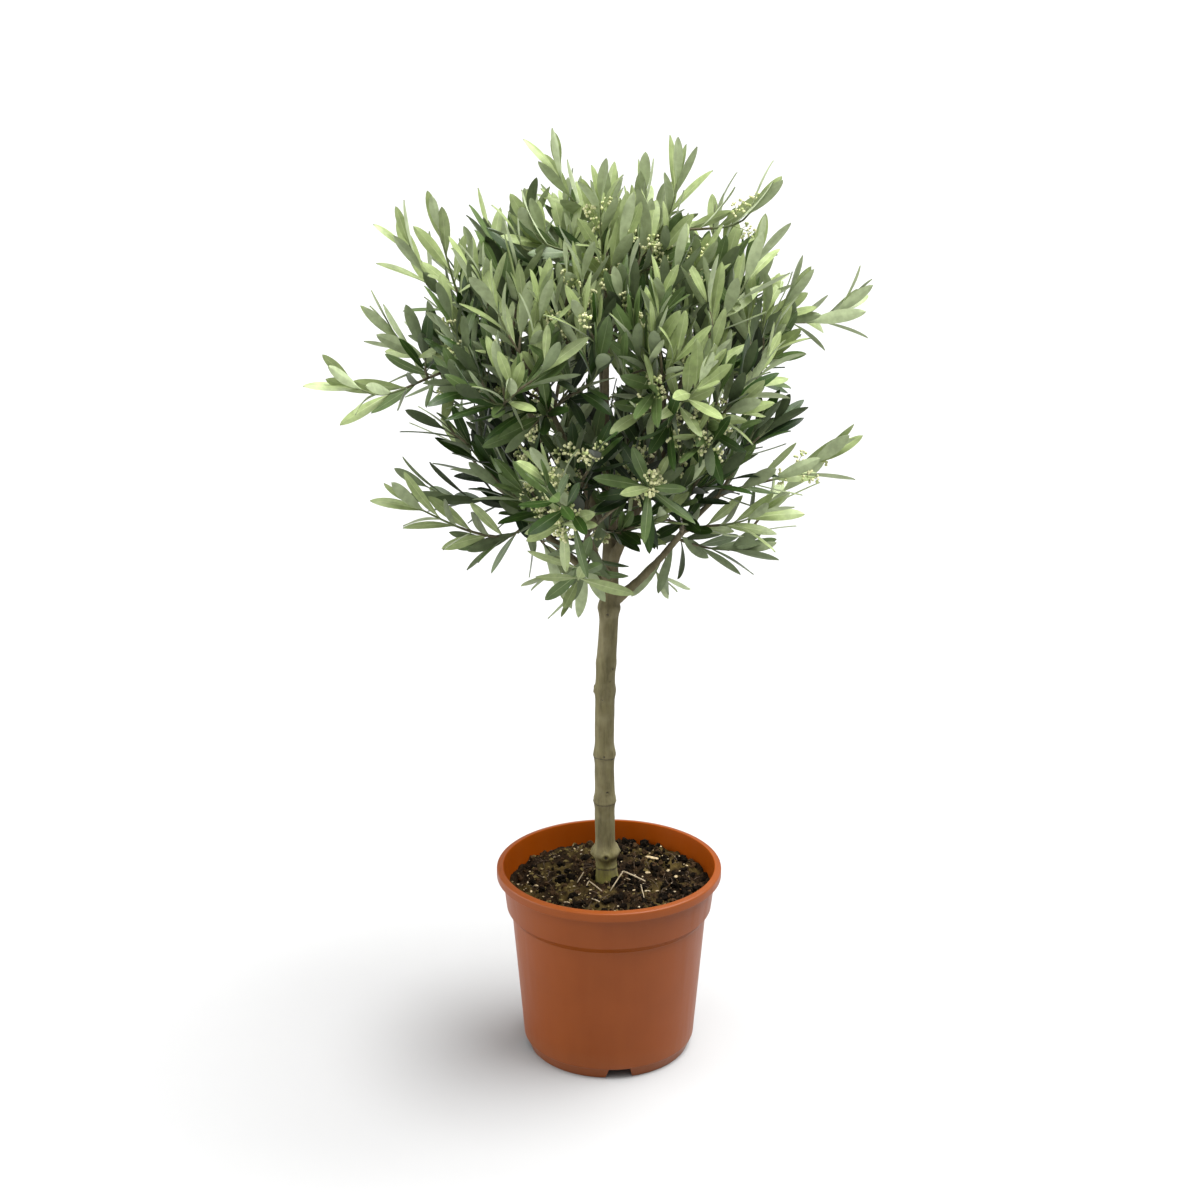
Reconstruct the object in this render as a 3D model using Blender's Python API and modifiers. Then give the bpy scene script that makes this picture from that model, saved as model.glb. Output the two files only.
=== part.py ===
"""A standard (lollipop) olive tree in flower bud, planted in a plastic nursery pot.

World frame, metres: the origin is on the floor under the pot's axis, +Z is up and -Y is the front.
A pot holds the soil, a bare trunk stands on the soil, and ten boughs leave the trunk. Each bough
carries one mass of foliage: twigs that branch from one stem by a seeded rule, with opposite leaves.
"""

import math

import bmesh
import bpy
import numpy as np
from mathutils import Vector, noise
from mathutils.bvhtree import BVHTree

CLEARANCE = 0.0003  # between neighbours that touch
ROUNDING = 1e-5  # lengths below this count as none
WELD = 1e-7  # joins a curve's sides to its caps and no more

# The pot: outer radii and heights, from the rolled rim down to the notched foot.
POT_HEIGHT = 0.185
RIM_RADIUS = 0.1062
RIM_DEPTH = 0.0096
RIM_FALL = 0.0012  # the rim's outer edge is this much lower than its lip
RIM_ROUND = 0.0016
RIM_ROUND_STEPS = 2
RIM_TUCK = 0.0007  # the rim's lower corner
MOUTH_RADIUS = 0.1000
LIP_ROUND = 0.0008
COLLAR_TOP_RADIUS = 0.1008
COLLAR_FOOT_RADIUS = 0.0970
COLLAR_FOOT_HEIGHT = 0.1440
BODY_TOP_RADIUS = 0.0922
BODY_TOP_HEIGHT = 0.1383
BODY_FOOT_RADIUS = 0.0817
LEDGE_ROUND = 0.0008
FOOT_TOP_RADIUS = 0.0809
FOOT_RADIUS = 0.0766
FOOT_HEIGHT = 0.0116
FOOT_RING_WIDTH = 0.0030
WALL = 0.0021
FLOOR_TOP = 0.0122
FLOOR_ROUND = 0.0035
POT_STEPS = 36
NOTCH_AZIMUTHS = tuple(math.radians(a) for a in (-83, 14, 97, -166))
NOTCH_HEIGHT = 0.0084
NOTCH_TOP_WIDTH = 0.020
NOTCH_FOOT_WIDTH = 0.0255
NOTCH_REACH = 0.008  # to either side of the foot's outer face
BELOW_FLOOR = 0.002  # how far the notch's cutter starts under the floor
DRAIN_AZIMUTHS = tuple(math.radians(a) for a in (-35, 55, 145, -125))
DRAIN_RADIUS = 0.006
DRAIN_DEPTH = 0.010
DRAIN_SIDES = 12
DRAIN_RING_RADIUS = 0.050

# The soil: its level at the wall, its heap towards the trunk and its lumps.
SOIL_LEVEL = 0.1620
SOIL_HEAP = 0.0035
SOIL_TOP = SOIL_LEVEL + SOIL_HEAP
SOIL_LUMP = 0.0022
SOIL_LUMP_SIZE = 0.016
SOIL_FLAT_RADIUS = 0.0280
SOIL_FOOT_ROUND = 0.006
SOIL_SHOULDER = 0.003  # above the pot's ledge
SOIL_RINGS = 4
SOIL_STEPS = POT_STEPS // 2

# The trunk: its line from the soil to its tip, its radii, its rings and its flare.
TRUNK_LINE = (  # x, y, z
    (-0.0017, 0.0100, SOIL_TOP + CLEARANCE),
    (-0.0036, 0.0096, 0.205),
    (-0.0043, 0.0088, 0.290),
    (-0.0038, 0.0072, 0.360),
    (-0.0006, 0.0056, 0.425),
    (0.0006, 0.0046, 0.470),
    (0.0004, 0.0030, 0.530),
)
TRUNK_FOOT_RADIUS = 0.0095
TRUNK_FORK_RADIUS = 0.0087
TRUNK_TIP_RADIUS = 0.0056
FORK_HEIGHT = 0.441
FLARE = 0.0020
FLARE_HEIGHT = 0.008
RING_HALF_HEIGHT = 0.0055
TRUNK_RINGS = (  # height, extra radius
    (0.1925, 0.0040),
    (0.2465, 0.0016),
    (0.2935, 0.0014),
    (0.3570, 0.0012),
    (0.3840, 0.0007),
    (0.438, 0.0020),
)
TRUNK_STATIONS = 30
TRUNK_ROUNDING = 3  # bevel steps

# The crown: where it branches from, its middle, and the furthest leaf tips of its leading shoots.
HEART = Vector((0.0, 0.005, 0.500))
CROWN_CENTRE = Vector((-0.006, 0.0, 0.655))
LEADING_TIPS = (
    (-0.247, -0.060, 0.691),
    (-0.210, -0.040, 0.566),
    (-0.201, 0.050, 0.562),
    (-0.212, 0.030, 0.725),
    (-0.188, 0.020, 0.804),
    (-0.154, -0.050, 0.829),
    (-0.109, 0.040, 0.823),
    (-0.074, -0.090, 0.836),
    (-0.046, 0.000, 0.873),
    (-0.009, -0.060, 0.852),
    (0.031, 0.050, 0.844),
    (0.060, -0.010, 0.863),
    (0.100, 0.070, 0.835),
    (0.128, -0.040, 0.849),
    (0.129, -0.100, 0.814),
    (0.170, 0.020, 0.758),
    (0.230, 0.060, 0.742),
    (0.189, -0.050, 0.686),
    (0.214, -0.030, 0.617),
    (0.201, 0.040, 0.570),
    (0.159, -0.070, 0.569),
    (0.164, 0.020, 0.490),
    (0.079, 0.050, 0.440),
    (-0.052, -0.060, 0.448),
    (-0.087, 0.050, 0.445),
    (-0.149, 0.020, 0.502),
    (-0.060, -0.230, 0.640),
    (0.070, -0.225, 0.705),
    (0.040, 0.238, 0.660),
    (-0.090, 0.222, 0.700),
)

# The masses of foliage, in rings round the trunk's line, and the boughs that carry them: the ring's
# name and count, its sites' radius and height, the first one's azimuth, the height of its bough's
# foot on the trunk, and the bough's share of the way to the site.
MASS_RINGS = (
    ("low", 4, 0.115, 0.560, math.radians(-12), 0.4410, 0.58),
    ("high", 5, 0.122, 0.690, math.radians(-52), 0.4780, 0.46),
    ("top", 1, 0.000, 0.800, 0.0, 0.5280, 0.50),
)
BOUGH_STEP_UP = 0.0085  # between the feet of neighbours in a ring
BOUGH_FOOT_RADIUS = 0.0046
BOUGH_TIP_RADIUS = 0.0028
BOUGH_SAG = 0.10  # of its length
BOUGH_POINTS = 6
BOUGH_ROUNDING = 1  # bevel steps
TOP_BOUGH_BEND = Vector((-0.004, -0.010, 0))
CELL_MARGIN = 0.0004

# The twigs and leaves of the masses.
SEED = 7
LEAVES_PER_MASS = 49
SHOOT_PLACES = 4000  # spread through the crown, for shoots to fill
SHOOT_REACH = 0.165  # from the crown's centre to the ends of its ordinary shoots
SHOOT_DEPTH = 0.010  # of an ordinary shoot's end inside its mass's space
SHOOT_LEAST = 0.027  # the emptiest place is no nearer to a twig than this
TWIG_FOOT_RADIUS = 0.0025
TWIG_TIP_RADIUS = 0.0016
TWIG_POINTS = 4
SHORT_TWIG = 0.070  # below this a twig has one point fewer
TWIG_SAG = 0.21  # of its length
TWIG_LEAVING = 0.45  # the parent's share in the direction that a twig leaves in
TURN_COST = 1.6  # the higher this is, the less a shoot's turn from its parent counts
NODE_SHARES = (0.33, 0.67)  # where twigs may leave each stretch of a twig
TEST_STEPS = 8  # of each stretch, where a twig is tested against the limbs
PAIRS_PER_SHOOT = 3
PAIR_SPACING = 0.0205
PAIR_SPREAD = (0.9, 1.1)
FIRST_PAIR = 0.003  # from the shoot's end
LEAF_LENGTH = 0.063
LEAF_WIDTH = 0.0225
LEAF_SPREAD = (0.84, 1.06)
LEAF_WIDEST = 0.5  # of its length
LEAF_OVERHANG = 0.86  # of its length, beyond the end of a leading shoot
LEAF_RIB_PEAK = 0.15  # of its length
LEAF_RIB_DEPTH = 0.0010
LEAF_SUNK = 0.0007
LEAF_OPENINGS = tuple(math.radians(a) for a in (26, 44, 54))  # from the shoot's tip backwards
LEAF_LIMB_GAP = 0.0010
BLADE_FROM = 0.12  # of its length, from the seat
MIDRIB_SHARES = (0.25, 0.5, 0.75)
LEAF_TRIES = (  # turn in degrees, share of the opening, size
    (0, 1.0, 1.0),
    (-30, 1.0, 1.0),
    (30, 1.0, 1.0),
    (-60, 0.9, 0.95),
    (60, 0.9, 0.95),
    (0, 0.6, 0.9),
    (90, 0.7, 0.85),
    (0, 0.4, 0.75),
)

MATERIALS = {  # base colour, roughness
    "terracotta_plastic": ((0.42, 0.105, 0.036, 1.0), 0.42),
    "potting_soil": ((0.030, 0.020, 0.012, 1.0), 0.95),
    "olive_bark": ((0.155, 0.145, 0.090, 1.0), 0.80),
    "olive_leaf": ((0.070, 0.105, 0.045, 1.0), 0.45),
}


def material(name):
    if name in bpy.data.materials:
        return bpy.data.materials[name]
    made = bpy.data.materials.new(name)
    made.use_nodes = True
    colour, roughness = MATERIALS[name]
    shader = made.node_tree.nodes["Principled BSDF"]
    shader.inputs["Base Color"].default_value = colour
    shader.inputs["Roughness"].default_value = roughness
    made.diffuse_color = colour
    return made


def collection(name):
    made = bpy.data.collections.new(name)
    bpy.context.scene.collection.children.link(made)
    return made


def placed(name, data, group, finish=None):
    """An object of this mesh or curve, in the group, with its material."""
    made = bpy.data.objects.new(name, data)
    group.objects.link(made)
    if finish:
        data.materials.append(material(finish))
    return made


def as_cutter(obj):
    """Hides an object that only cuts others."""
    obj.hide_render = True
    obj.display_type = "WIRE"
    return obj


def as_mesh(obj):
    """Replaces the object by its evaluated mesh, with a curve's loose caps welded."""
    graph = bpy.context.evaluated_depsgraph_get()
    mesh = bpy.data.meshes.new_from_object(obj.evaluated_get(graph))
    form = bmesh.new()
    form.from_mesh(mesh)
    bmesh.ops.remove_doubles(form, verts=form.verts, dist=WELD)
    form.to_mesh(mesh)
    form.free()
    made = bpy.data.objects.new(obj.name, mesh)
    made.matrix_world = obj.matrix_world
    for group in obj.users_collection:
        group.objects.link(made)
    name = obj.name
    bpy.data.objects.remove(obj)
    made.name = name
    return made


def limb(name, points, radii, group, finish=None, profile=None, rounding=0):
    """A tapering tube along the points: round, or with the profile curve's section."""
    curve = bpy.data.curves.new(name, "CURVE")
    curve.dimensions = "3D"
    curve.use_fill_caps = True
    if profile:
        curve.bevel_mode = "OBJECT"
        curve.bevel_object = profile
    else:
        curve.bevel_depth = 1.0
        curve.bevel_resolution = rounding
    spline = curve.splines.new("POLY")
    spline.points.add(len(points) - 1)
    for knot, point, radius in zip(spline.points, points, radii):
        knot.co = (*point, 1)
        knot.radius = radius
    return placed(name, curve, group, finish)


def boolean(obj, operation, operand):
    """Joins or cuts the object with another one, or with a whole collection."""
    cut = obj.modifiers.new(operation.title(), "BOOLEAN")
    cut.operation = operation
    cut.solver = "EXACT"
    if isinstance(operand, bpy.types.Collection):
        cut.operand_type = "COLLECTION"
        cut.collection = operand
    else:
        cut.object = operand


# The pot


def arc(centre, radius, start, end, steps):
    """Points on an arc in the profile's plane, the angles in degrees."""
    angles = [math.radians(start + (end - start) * i / steps) for i in range(steps + 1)]
    return [(centre[0] + radius * math.cos(a), centre[1] + radius * math.sin(a)) for a in angles]


def pot_profile():
    """(radius, height) from the floor's middle out, up the inside, over the rim, down and under."""
    rim_out = RIM_RADIUS - RIM_ROUND
    rim_top = POT_HEIGHT - RIM_FALL - RIM_ROUND
    rim_foot = POT_HEIGHT - RIM_DEPTH
    ledge_radius = (COLLAR_FOOT_RADIUS + BODY_TOP_RADIUS) / 2
    ledge_height = (COLLAR_FOOT_HEIGHT + BODY_TOP_HEIGHT) / 2
    inside = [
        (0.0, FLOOR_TOP),
        (BODY_FOOT_RADIUS - WALL - FLOOR_ROUND, FLOOR_TOP),
        (BODY_FOOT_RADIUS - WALL, FLOOR_TOP + FLOOR_ROUND),
        (BODY_TOP_RADIUS - WALL, BODY_TOP_HEIGHT + LEDGE_ROUND),
        (COLLAR_FOOT_RADIUS - WALL, COLLAR_FOOT_HEIGHT + LEDGE_ROUND),
        (COLLAR_TOP_RADIUS - WALL, rim_foot),
        (MOUTH_RADIUS, POT_HEIGHT - LIP_ROUND),
        (MOUTH_RADIUS + LIP_ROUND, POT_HEIGHT),
    ]
    rim = arc((rim_out, rim_top), RIM_ROUND, 90, 0, RIM_ROUND_STEPS) + [
        (RIM_RADIUS, rim_foot + RIM_TUCK),
        (RIM_RADIUS - RIM_TUCK, rim_foot),
    ]
    outside = [
        (COLLAR_TOP_RADIUS, rim_foot + LEDGE_ROUND),
        (COLLAR_FOOT_RADIUS, COLLAR_FOOT_HEIGHT),
        (ledge_radius + LEDGE_ROUND, ledge_height + LEDGE_ROUND),
        (BODY_TOP_RADIUS, BODY_TOP_HEIGHT),
        (BODY_FOOT_RADIUS, FOOT_HEIGHT),
        (FOOT_TOP_RADIUS, FOOT_HEIGHT - LEDGE_ROUND),
        (FOOT_RADIUS, 0.0),
        (FOOT_RADIUS - FOOT_RING_WIDTH, 0.0),
        (FOOT_TOP_RADIUS - FOOT_RING_WIDTH, FLOOR_TOP - WALL),
        (0.0, FLOOR_TOP - WALL),
    ]
    return inside + rim + outside


def turned(name, profile, group, finish, steps):
    """A shape turned round the Z axis from its profile, by a Screw modifier."""
    mesh = bpy.data.meshes.new(name)
    form = bmesh.new()
    verts = [form.verts.new((radius, 0, height)) for radius, height in profile]
    for first, second in zip(verts, verts[1:]):
        form.edges.new((first, second))
    form.to_mesh(mesh)
    form.free()
    made = placed(name, mesh, group, finish)
    screw = made.modifiers.new("Turn", "SCREW")
    screw.steps = screw.render_steps = steps
    screw.use_merge_vertices = True
    screw.merge_threshold = ROUNDING
    screw.use_smooth_shade = True
    return made


def notch_cutter(azimuth, group):
    """A trapezoid through the foot ring, standing on the floor and wider there."""
    outline = bpy.data.curves.new("notch_cutter", "CURVE")
    outline.dimensions = "2D"
    outline.fill_mode = "BOTH"
    outline.extrude = NOTCH_REACH
    top, foot = NOTCH_TOP_WIDTH / 2, NOTCH_FOOT_WIDTH / 2
    below = foot + (foot - top) / NOTCH_HEIGHT * BELOW_FLOOR
    spline = outline.splines.new("POLY")
    spline.use_cyclic_u = True
    spline.points.add(3)
    corners = ((-below, -BELOW_FLOOR), (below, -BELOW_FLOOR), (top, NOTCH_HEIGHT), (-top, NOTCH_HEIGHT))
    for knot, (across, up) in zip(spline.points, corners):
        knot.co = (across, up, 0, 1)
    made = placed("notch_cutter", outline, group)
    made.location = (FOOT_RADIUS * math.cos(azimuth), FOOT_RADIUS * math.sin(azimuth), 0)
    made.rotation_euler = (math.pi / 2, 0, azimuth + math.pi / 2)
    bpy.context.view_layer.update()
    return as_cutter(as_mesh(made))


def drain_cutter(azimuth, group):
    mesh = bpy.data.meshes.new("drain_cutter")
    form = bmesh.new()
    bmesh.ops.create_cone(
        form,
        cap_ends=True,
        segments=DRAIN_SIDES,
        radius1=DRAIN_RADIUS,
        radius2=DRAIN_RADIUS,
        depth=DRAIN_DEPTH,
    )
    form.to_mesh(mesh)
    form.free()
    made = as_cutter(placed("drain_cutter", mesh, group))
    made.location = Vector((math.cos(azimuth), math.sin(azimuth), 0)) * DRAIN_RING_RADIUS
    made.location.z = FLOOR_TOP
    return made


def build_pot(parts, cutters):
    pot = turned("pot", pot_profile(), parts, "terracotta_plastic", POT_STEPS)
    for azimuth in NOTCH_AZIMUTHS:
        boolean(pot, "DIFFERENCE", notch_cutter(azimuth, cutters))
    for azimuth in DRAIN_AZIMUTHS:
        boolean(pot, "DIFFERENCE", drain_cutter(azimuth, cutters))


# The soil


def inner_radius(height):
    """Of the pot's straight inner wall below its collar, or of the collar."""
    if height < BODY_TOP_HEIGHT:
        share = (height - FOOT_HEIGHT) / (BODY_TOP_HEIGHT - FOOT_HEIGHT)
        return BODY_FOOT_RADIUS + (BODY_TOP_RADIUS - BODY_FOOT_RADIUS) * share - WALL
    share = (height - COLLAR_FOOT_HEIGHT) / (POT_HEIGHT - COLLAR_FOOT_HEIGHT)
    return COLLAR_FOOT_RADIUS + (COLLAR_TOP_RADIUS - COLLAR_FOOT_RADIUS) * share - WALL


def soil_height(x, y):
    """The lumpy surface, level in the middle, where the trunk stands on it."""
    beyond = math.hypot(x, y) - SOIL_FLAT_RADIUS
    if beyond < ROUNDING:
        return SOIL_TOP
    lump = SOIL_LUMP * noise.noise(Vector((x, y, 0)) / SOIL_LUMP_SIZE)
    return SOIL_TOP - SOIL_HEAP * beyond / (RIM_RADIUS - SOIL_FLAT_RADIUS) + lump


def build_soil(parts):
    foot = inner_radius(FLOOR_TOP) - 4 * CLEARANCE
    edge = inner_radius(SOIL_LEVEL) - 2 * CLEARANCE
    sides = [
        (edge, SOIL_LEVEL),
        (COLLAR_FOOT_RADIUS - WALL - 2 * CLEARANCE, COLLAR_FOOT_HEIGHT + SOIL_SHOULDER),
        (BODY_TOP_RADIUS - WALL - 2 * CLEARANCE, BODY_TOP_HEIGHT),
        (foot, FLOOR_TOP + SOIL_FOOT_ROUND),
        (foot - SOIL_FOOT_ROUND, FLOOR_TOP + CLEARANCE),
        (0.0, FLOOR_TOP + CLEARANCE),
    ]
    ring_step = (edge - SOIL_FLAT_RADIUS) / SOIL_RINGS
    rings = [0.0] + [SOIL_FLAT_RADIUS + ring_step * i for i in range(SOIL_RINGS)]
    top = [(radius, SOIL_LEVEL) for radius in rings]
    soil = as_mesh(turned("soil", top + sides, parts, "potting_soil", SOIL_STEPS))
    for vert in soil.data.vertices:
        if vert.co.z >= SOIL_LEVEL - ROUNDING:
            vert.co.z = soil_height(vert.co.x, vert.co.y)


# The trunk and the boughs


def smooth_line(knots, share):
    """A point on the smooth curve through evenly weighted knots, at this share of the way."""
    place = share * (len(knots) - 1)
    i = min(int(place), len(knots) - 2)
    t = place - i
    before, start, end, after = (knots[min(max(k, 0), len(knots) - 1)] for k in range(i - 1, i + 3))
    return tuple(
        0.5 * (2 * b + (c - a) * t + (2 * a - 5 * b + 4 * c - d) * t**2 + (3 * b - a - 3 * c + d) * t**3)
        for a, b, c, d in zip(before, start, end, after)
    )


def trunk_radius(height):
    foot, tip = TRUNK_LINE[0][2], TRUNK_LINE[-1][2]
    if height < FORK_HEIGHT:
        share = (height - foot) / (FORK_HEIGHT - foot)
        radius = TRUNK_FOOT_RADIUS + (TRUNK_FORK_RADIUS - TRUNK_FOOT_RADIUS) * share
    else:
        share = (height - FORK_HEIGHT) / (tip - FORK_HEIGHT)
        radius = TRUNK_FORK_RADIUS + (TRUNK_TIP_RADIUS - TRUNK_FORK_RADIUS) * share
    radius += FLARE * math.exp(-(height - foot) / FLARE_HEIGHT)
    for ring, extra in TRUNK_RINGS:
        radius += extra * math.exp(-(((height - ring) / RING_HALF_HEIGHT) ** 2))
    return radius


def trunk_points():
    """Stations up the trunk's line: the first stretch is upright, so that the foot is cut level."""
    points = [Vector(smooth_line(TRUNK_LINE, i / (TRUNK_STATIONS - 1))) for i in range(TRUNK_STATIONS)]
    points[0].xy = points[1].xy
    return points


def trunk_axis(height):
    """The point on the trunk's line at this height."""
    points = trunk_points()
    for low, high in zip(points, points[1:]):
        if height <= high.z:
            return low.lerp(high, (height - low.z) / (high.z - low.z))
    return points[-1]


def build_trunk(name, parts, extra=0.0, finish=None):
    points = trunk_points()
    radii = [trunk_radius(point.z) + extra for point in points]
    points[-1].z += extra
    return as_mesh(limb(name, points, radii, parts, finish, rounding=TRUNK_ROUNDING))


def bezier(start, control, end, count):
    shares = [i / (count - 1) for i in range(count)]
    return [(1 - t) ** 2 * start + 2 * t * (1 - t) * control + t**2 * end for t in shares]


def tapering(foot_radius, tip_radius, count):
    return [foot_radius + (tip_radius - foot_radius) * i / (count - 1) for i in range(count)]


def bough_plans():
    """(name, mass's site, bough's points, their radii) for each mass."""
    plans = []
    for ring, count, site_radius, site_height, first, foot_height, share in MASS_RINGS:
        for i in range(count):
            azimuth = first + i * math.tau / count
            out = Vector((math.cos(azimuth), math.sin(azimuth), 0))
            site = Vector((CROWN_CENTRE.x, CROWN_CENTRE.y, site_height)) + out * site_radius
            name = f"{ring}_{i + 1}" if count > 1 else ring
            foot = trunk_axis(foot_height + i * BOUGH_STEP_UP)
            tip = foot.lerp(site, share)
            bend = foot.lerp(tip, 0.5) - Vector((0, 0, BOUGH_SAG * (tip - foot).length))
            if count == 1:
                bend = foot.lerp(tip, 0.5) + TOP_BOUGH_BEND
            points = bezier(foot, bend, tip, BOUGH_POINTS)
            radii = tapering(BOUGH_FOOT_RADIUS, BOUGH_TIP_RADIUS, BOUGH_POINTS)
            plans.append((name, site, points, radii))
    return plans


def build_boughs(plans, parts, cutters):
    """Each bough ends against the trunk, a clearance away from it."""
    around_trunk = as_cutter(build_trunk("trunk_cutter", cutters, extra=CLEARANCE))
    for name, _, points, radii in plans:
        bough = limb(f"bough_{name}", points, radii, parts, "olive_bark", rounding=BOUGH_ROUNDING)
        boolean(as_mesh(bough), "DIFFERENCE", around_trunk)


# The foliage: the rule of growth


def leading_ends():
    """Where the leading shoots end, behind their furthest leaf's tip."""
    leaf_tips = [Vector(place) for place in LEADING_TIPS]
    return [tip - (tip - HEART).normalized() * LEAF_LENGTH * LEAF_OVERHANG for tip in leaf_tips]


def crown_places():
    """Places spread through the crown's ball, where ordinary shoots may end."""
    spread = np.random.default_rng(SEED).uniform(-1, 1, (SHOOT_PLACES, 3))
    inside = [Vector(place) for place in spread.tolist() if Vector(place).length < 1]
    return [CROWN_CENTRE + place * SHOOT_REACH for place in inside]


def cell_walls(site, sites):
    """(normal, offset) of the planes halfway to the other masses, for depth_inside."""
    walls = []
    for other in sites:
        if other != site:
            normal = (other - site).normalized()
            walls.append((normal, normal.dot((site + other) / 2) - CELL_MARGIN))
    return walls


def depth_inside(point, walls):
    """How far inside the walls' space the point is, or less than none outside."""
    return min(offset - normal.dot(point) for normal, offset in walls)


def nearest_node(tip, nodes):
    """The place on the twigs from which a shoot reaches the tip with least turn and length."""

    def cost(node):
        way = tip - node[0]
        return way.length * (TURN_COST - node[1].dot(way.normalized()))

    return min(nodes, key=cost)


def twig_line(node, tip):
    """A shoot's curve: it leaves along its parent's line, runs out and turns up to its tip."""
    start, along = node
    way = tip - start
    count = TWIG_POINTS if way.length > SHORT_TWIG else TWIG_POINTS - 1
    leaving = (along * TWIG_LEAVING + way.normalized()).normalized()
    control = start + leaving * way.length * 0.5 - Vector((0, 0, TWIG_SAG * way.length))
    return bezier(start, control, tip, count)


def place_along(points, back):
    """The point and direction at this distance back from the line's end, or None beyond its start."""
    for low, high in zip(points[-2::-1], points[:0:-1]):
        step = (high - low).length
        if back <= step:
            return high.lerp(low, back / step), (high - low).normalized()
        back -= step
    return None


def side_of(direction, turn):
    """A unit vector square to the direction, turned round it from the horizontal."""
    level = Vector((0, 0, 1)).cross(direction)
    level = level.normalized() if level.length > ROUNDING else Vector((1, 0, 0))
    return level * math.cos(turn) + direction.cross(level) * math.sin(turn)


def leaf_frame(seat, direction, turn, opening):
    """(seat, the leaf's line, its width's direction, its normal)."""
    out = side_of(direction, turn)
    line = direction * math.cos(opening) + out * math.sin(opening)
    across = direction.cross(out)
    return seat, line, across, line.cross(across)


def leaf_corners(frame, length, width):
    """The root inside the twig, the two widest points, the tip and the top of the midrib."""
    seat, line, across, normal = frame
    middle, half_width = seat + line * length * LEAF_WIDEST, across * width / 2
    rib = seat + line * length * LEAF_RIB_PEAK + normal * LEAF_RIB_DEPTH
    return [seat - line * LEAF_SUNK, middle + half_width, middle - half_width, seat + line * length, rib]


def blade_of(corners):
    """The leaf's surface beyond its root, to see whether it crosses another's."""
    root, left, right, tip, _ = corners
    near = root.lerp(tip, BLADE_FROM)
    return BVHTree.FromPolygons((near, left, tip, right), ((0, 1, 2, 3),))


def segment_distance(point, start, end):
    """From the point to the nearest place on the stretch."""
    span = end - start
    share = min(1.0, max(0.0, (point - start).dot(span) / span.length_squared))
    return (point - start - span * share).length


def clear_of_limbs(points, margin, limbs):
    return all(segment_distance(p, a, b) > r + margin for p in points for a, b, r in limbs)


def in_steps(line):
    """Points all along the line, to test it."""
    shares = [i / TEST_STEPS for i in range(TEST_STEPS + 1)]
    return [low.lerp(high, share) for low, high in zip(line, line[1:]) for share in shares]


class Mass:
    """One mass of foliage: its twigs' lines and radii and its leaves' corners."""

    def __init__(self, plan, plans, limbs):
        self.name, self.site, bough, radii = plan
        self.walls = cell_walls(self.site, [other[1] for other in plans])
        self.limbs = limbs
        self.twigs, self.leaves = [], []
        direction = (bough[-1] - bough[-2]).normalized()
        start = bough[-1] + direction * CLEARANCE
        self.stem_start = (start, direction)
        self.stem_radius = radii[-1]
        self.nodes, self.blades, self.filled = [], [], []

    def add_twig(self, points, foot_radius):
        self.twigs.append((points, tapering(foot_radius, TWIG_TIP_RADIUS, len(points))))
        for low, high in zip(points, points[1:]):
            direction = (high - low).normalized()
            self.nodes += [(low.lerp(high, share), direction) for share in NODE_SHARES]
            self.filled.append(high)
        self.nodes = [node for node in self.nodes if (node[0] - points[-1]).length > PAIR_SPACING]

    def grow(self, leading, places):
        """The stem goes to the site, then shoots to the leading ends, then to the emptiest places."""
        start, along = self.stem_start
        halfway = start + along * (self.site - start).length / 2
        self.add_twig(bezier(start, halfway, self.site, TWIG_POINTS), self.stem_radius)
        rng = np.random.default_rng(SEED)
        own = [end for end in leading if depth_inside(end, self.walls) > 0]
        for end in sorted(own, key=lambda end: (end - start).length):
            self.add_shoot(end, rng)
        places = [place for place in places if depth_inside(place, self.walls) > SHOOT_DEPTH]
        while len(self.leaves) < LEAVES_PER_MASS and places:
            room = [min((place - q).length for q in self.filled) for place in places]
            widest = max(range(len(places)), key=room.__getitem__)
            if room[widest] < SHOOT_LEAST:
                return
            self.add_shoot(places.pop(widest), rng)

    def add_shoot(self, end, rng):
        """A twig to this end with its leaves, unless it would leave the space or touch a limb."""
        line = twig_line(nearest_node(end, self.nodes), end)
        inside = all(depth_inside(point, self.walls) > TWIG_FOOT_RADIUS for point in line)
        self.filled.append(end)
        if inside and clear_of_limbs(in_steps(line), TWIG_FOOT_RADIUS + CLEARANCE, self.limbs):
            self.add_twig(line, TWIG_FOOT_RADIUS)
            self.add_leaves(line, rng)

    def add_leaves(self, line, rng):
        first_turn = rng.uniform(0, math.pi)
        for pair in range(PAIRS_PER_SHOOT):
            place = place_along(line, FIRST_PAIR + pair * PAIR_SPACING * rng.uniform(*PAIR_SPREAD))
            sizes = LEAF_LENGTH * rng.uniform(*LEAF_SPREAD, 2)
            if place is None:
                return
            for side, length in enumerate(sizes):
                turn = first_turn + pair * math.pi / 2 + side * math.pi
                self.try_leaf(*place, turn, LEAF_OPENINGS[pair], length)

    def try_leaf(self, seat, direction, turn, opening, length):
        """Adds the leaf where it fits, turned or smaller if it must be, or leaves it out."""
        for swing, closing, size in LEAF_TRIES:
            frame = leaf_frame(seat, direction, turn + math.radians(swing), opening * closing)
            corners = leaf_corners(frame, length * size, LEAF_WIDTH * size)
            midrib = [seat.lerp(corners[3], share) for share in MIDRIB_SHARES]
            if min(depth_inside(corner, self.walls) for corner in corners) < 0:
                continue
            if not clear_of_limbs(corners + midrib, LEAF_LIMB_GAP + LEAF_WIDTH / 2, self.limbs):
                continue
            blade = blade_of(corners)
            if any(blade.overlap(other) for other in self.blades):
                continue
            self.leaves.append(corners)
            self.blades.append(blade)
            self.filled.append(midrib[1])
            return


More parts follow.
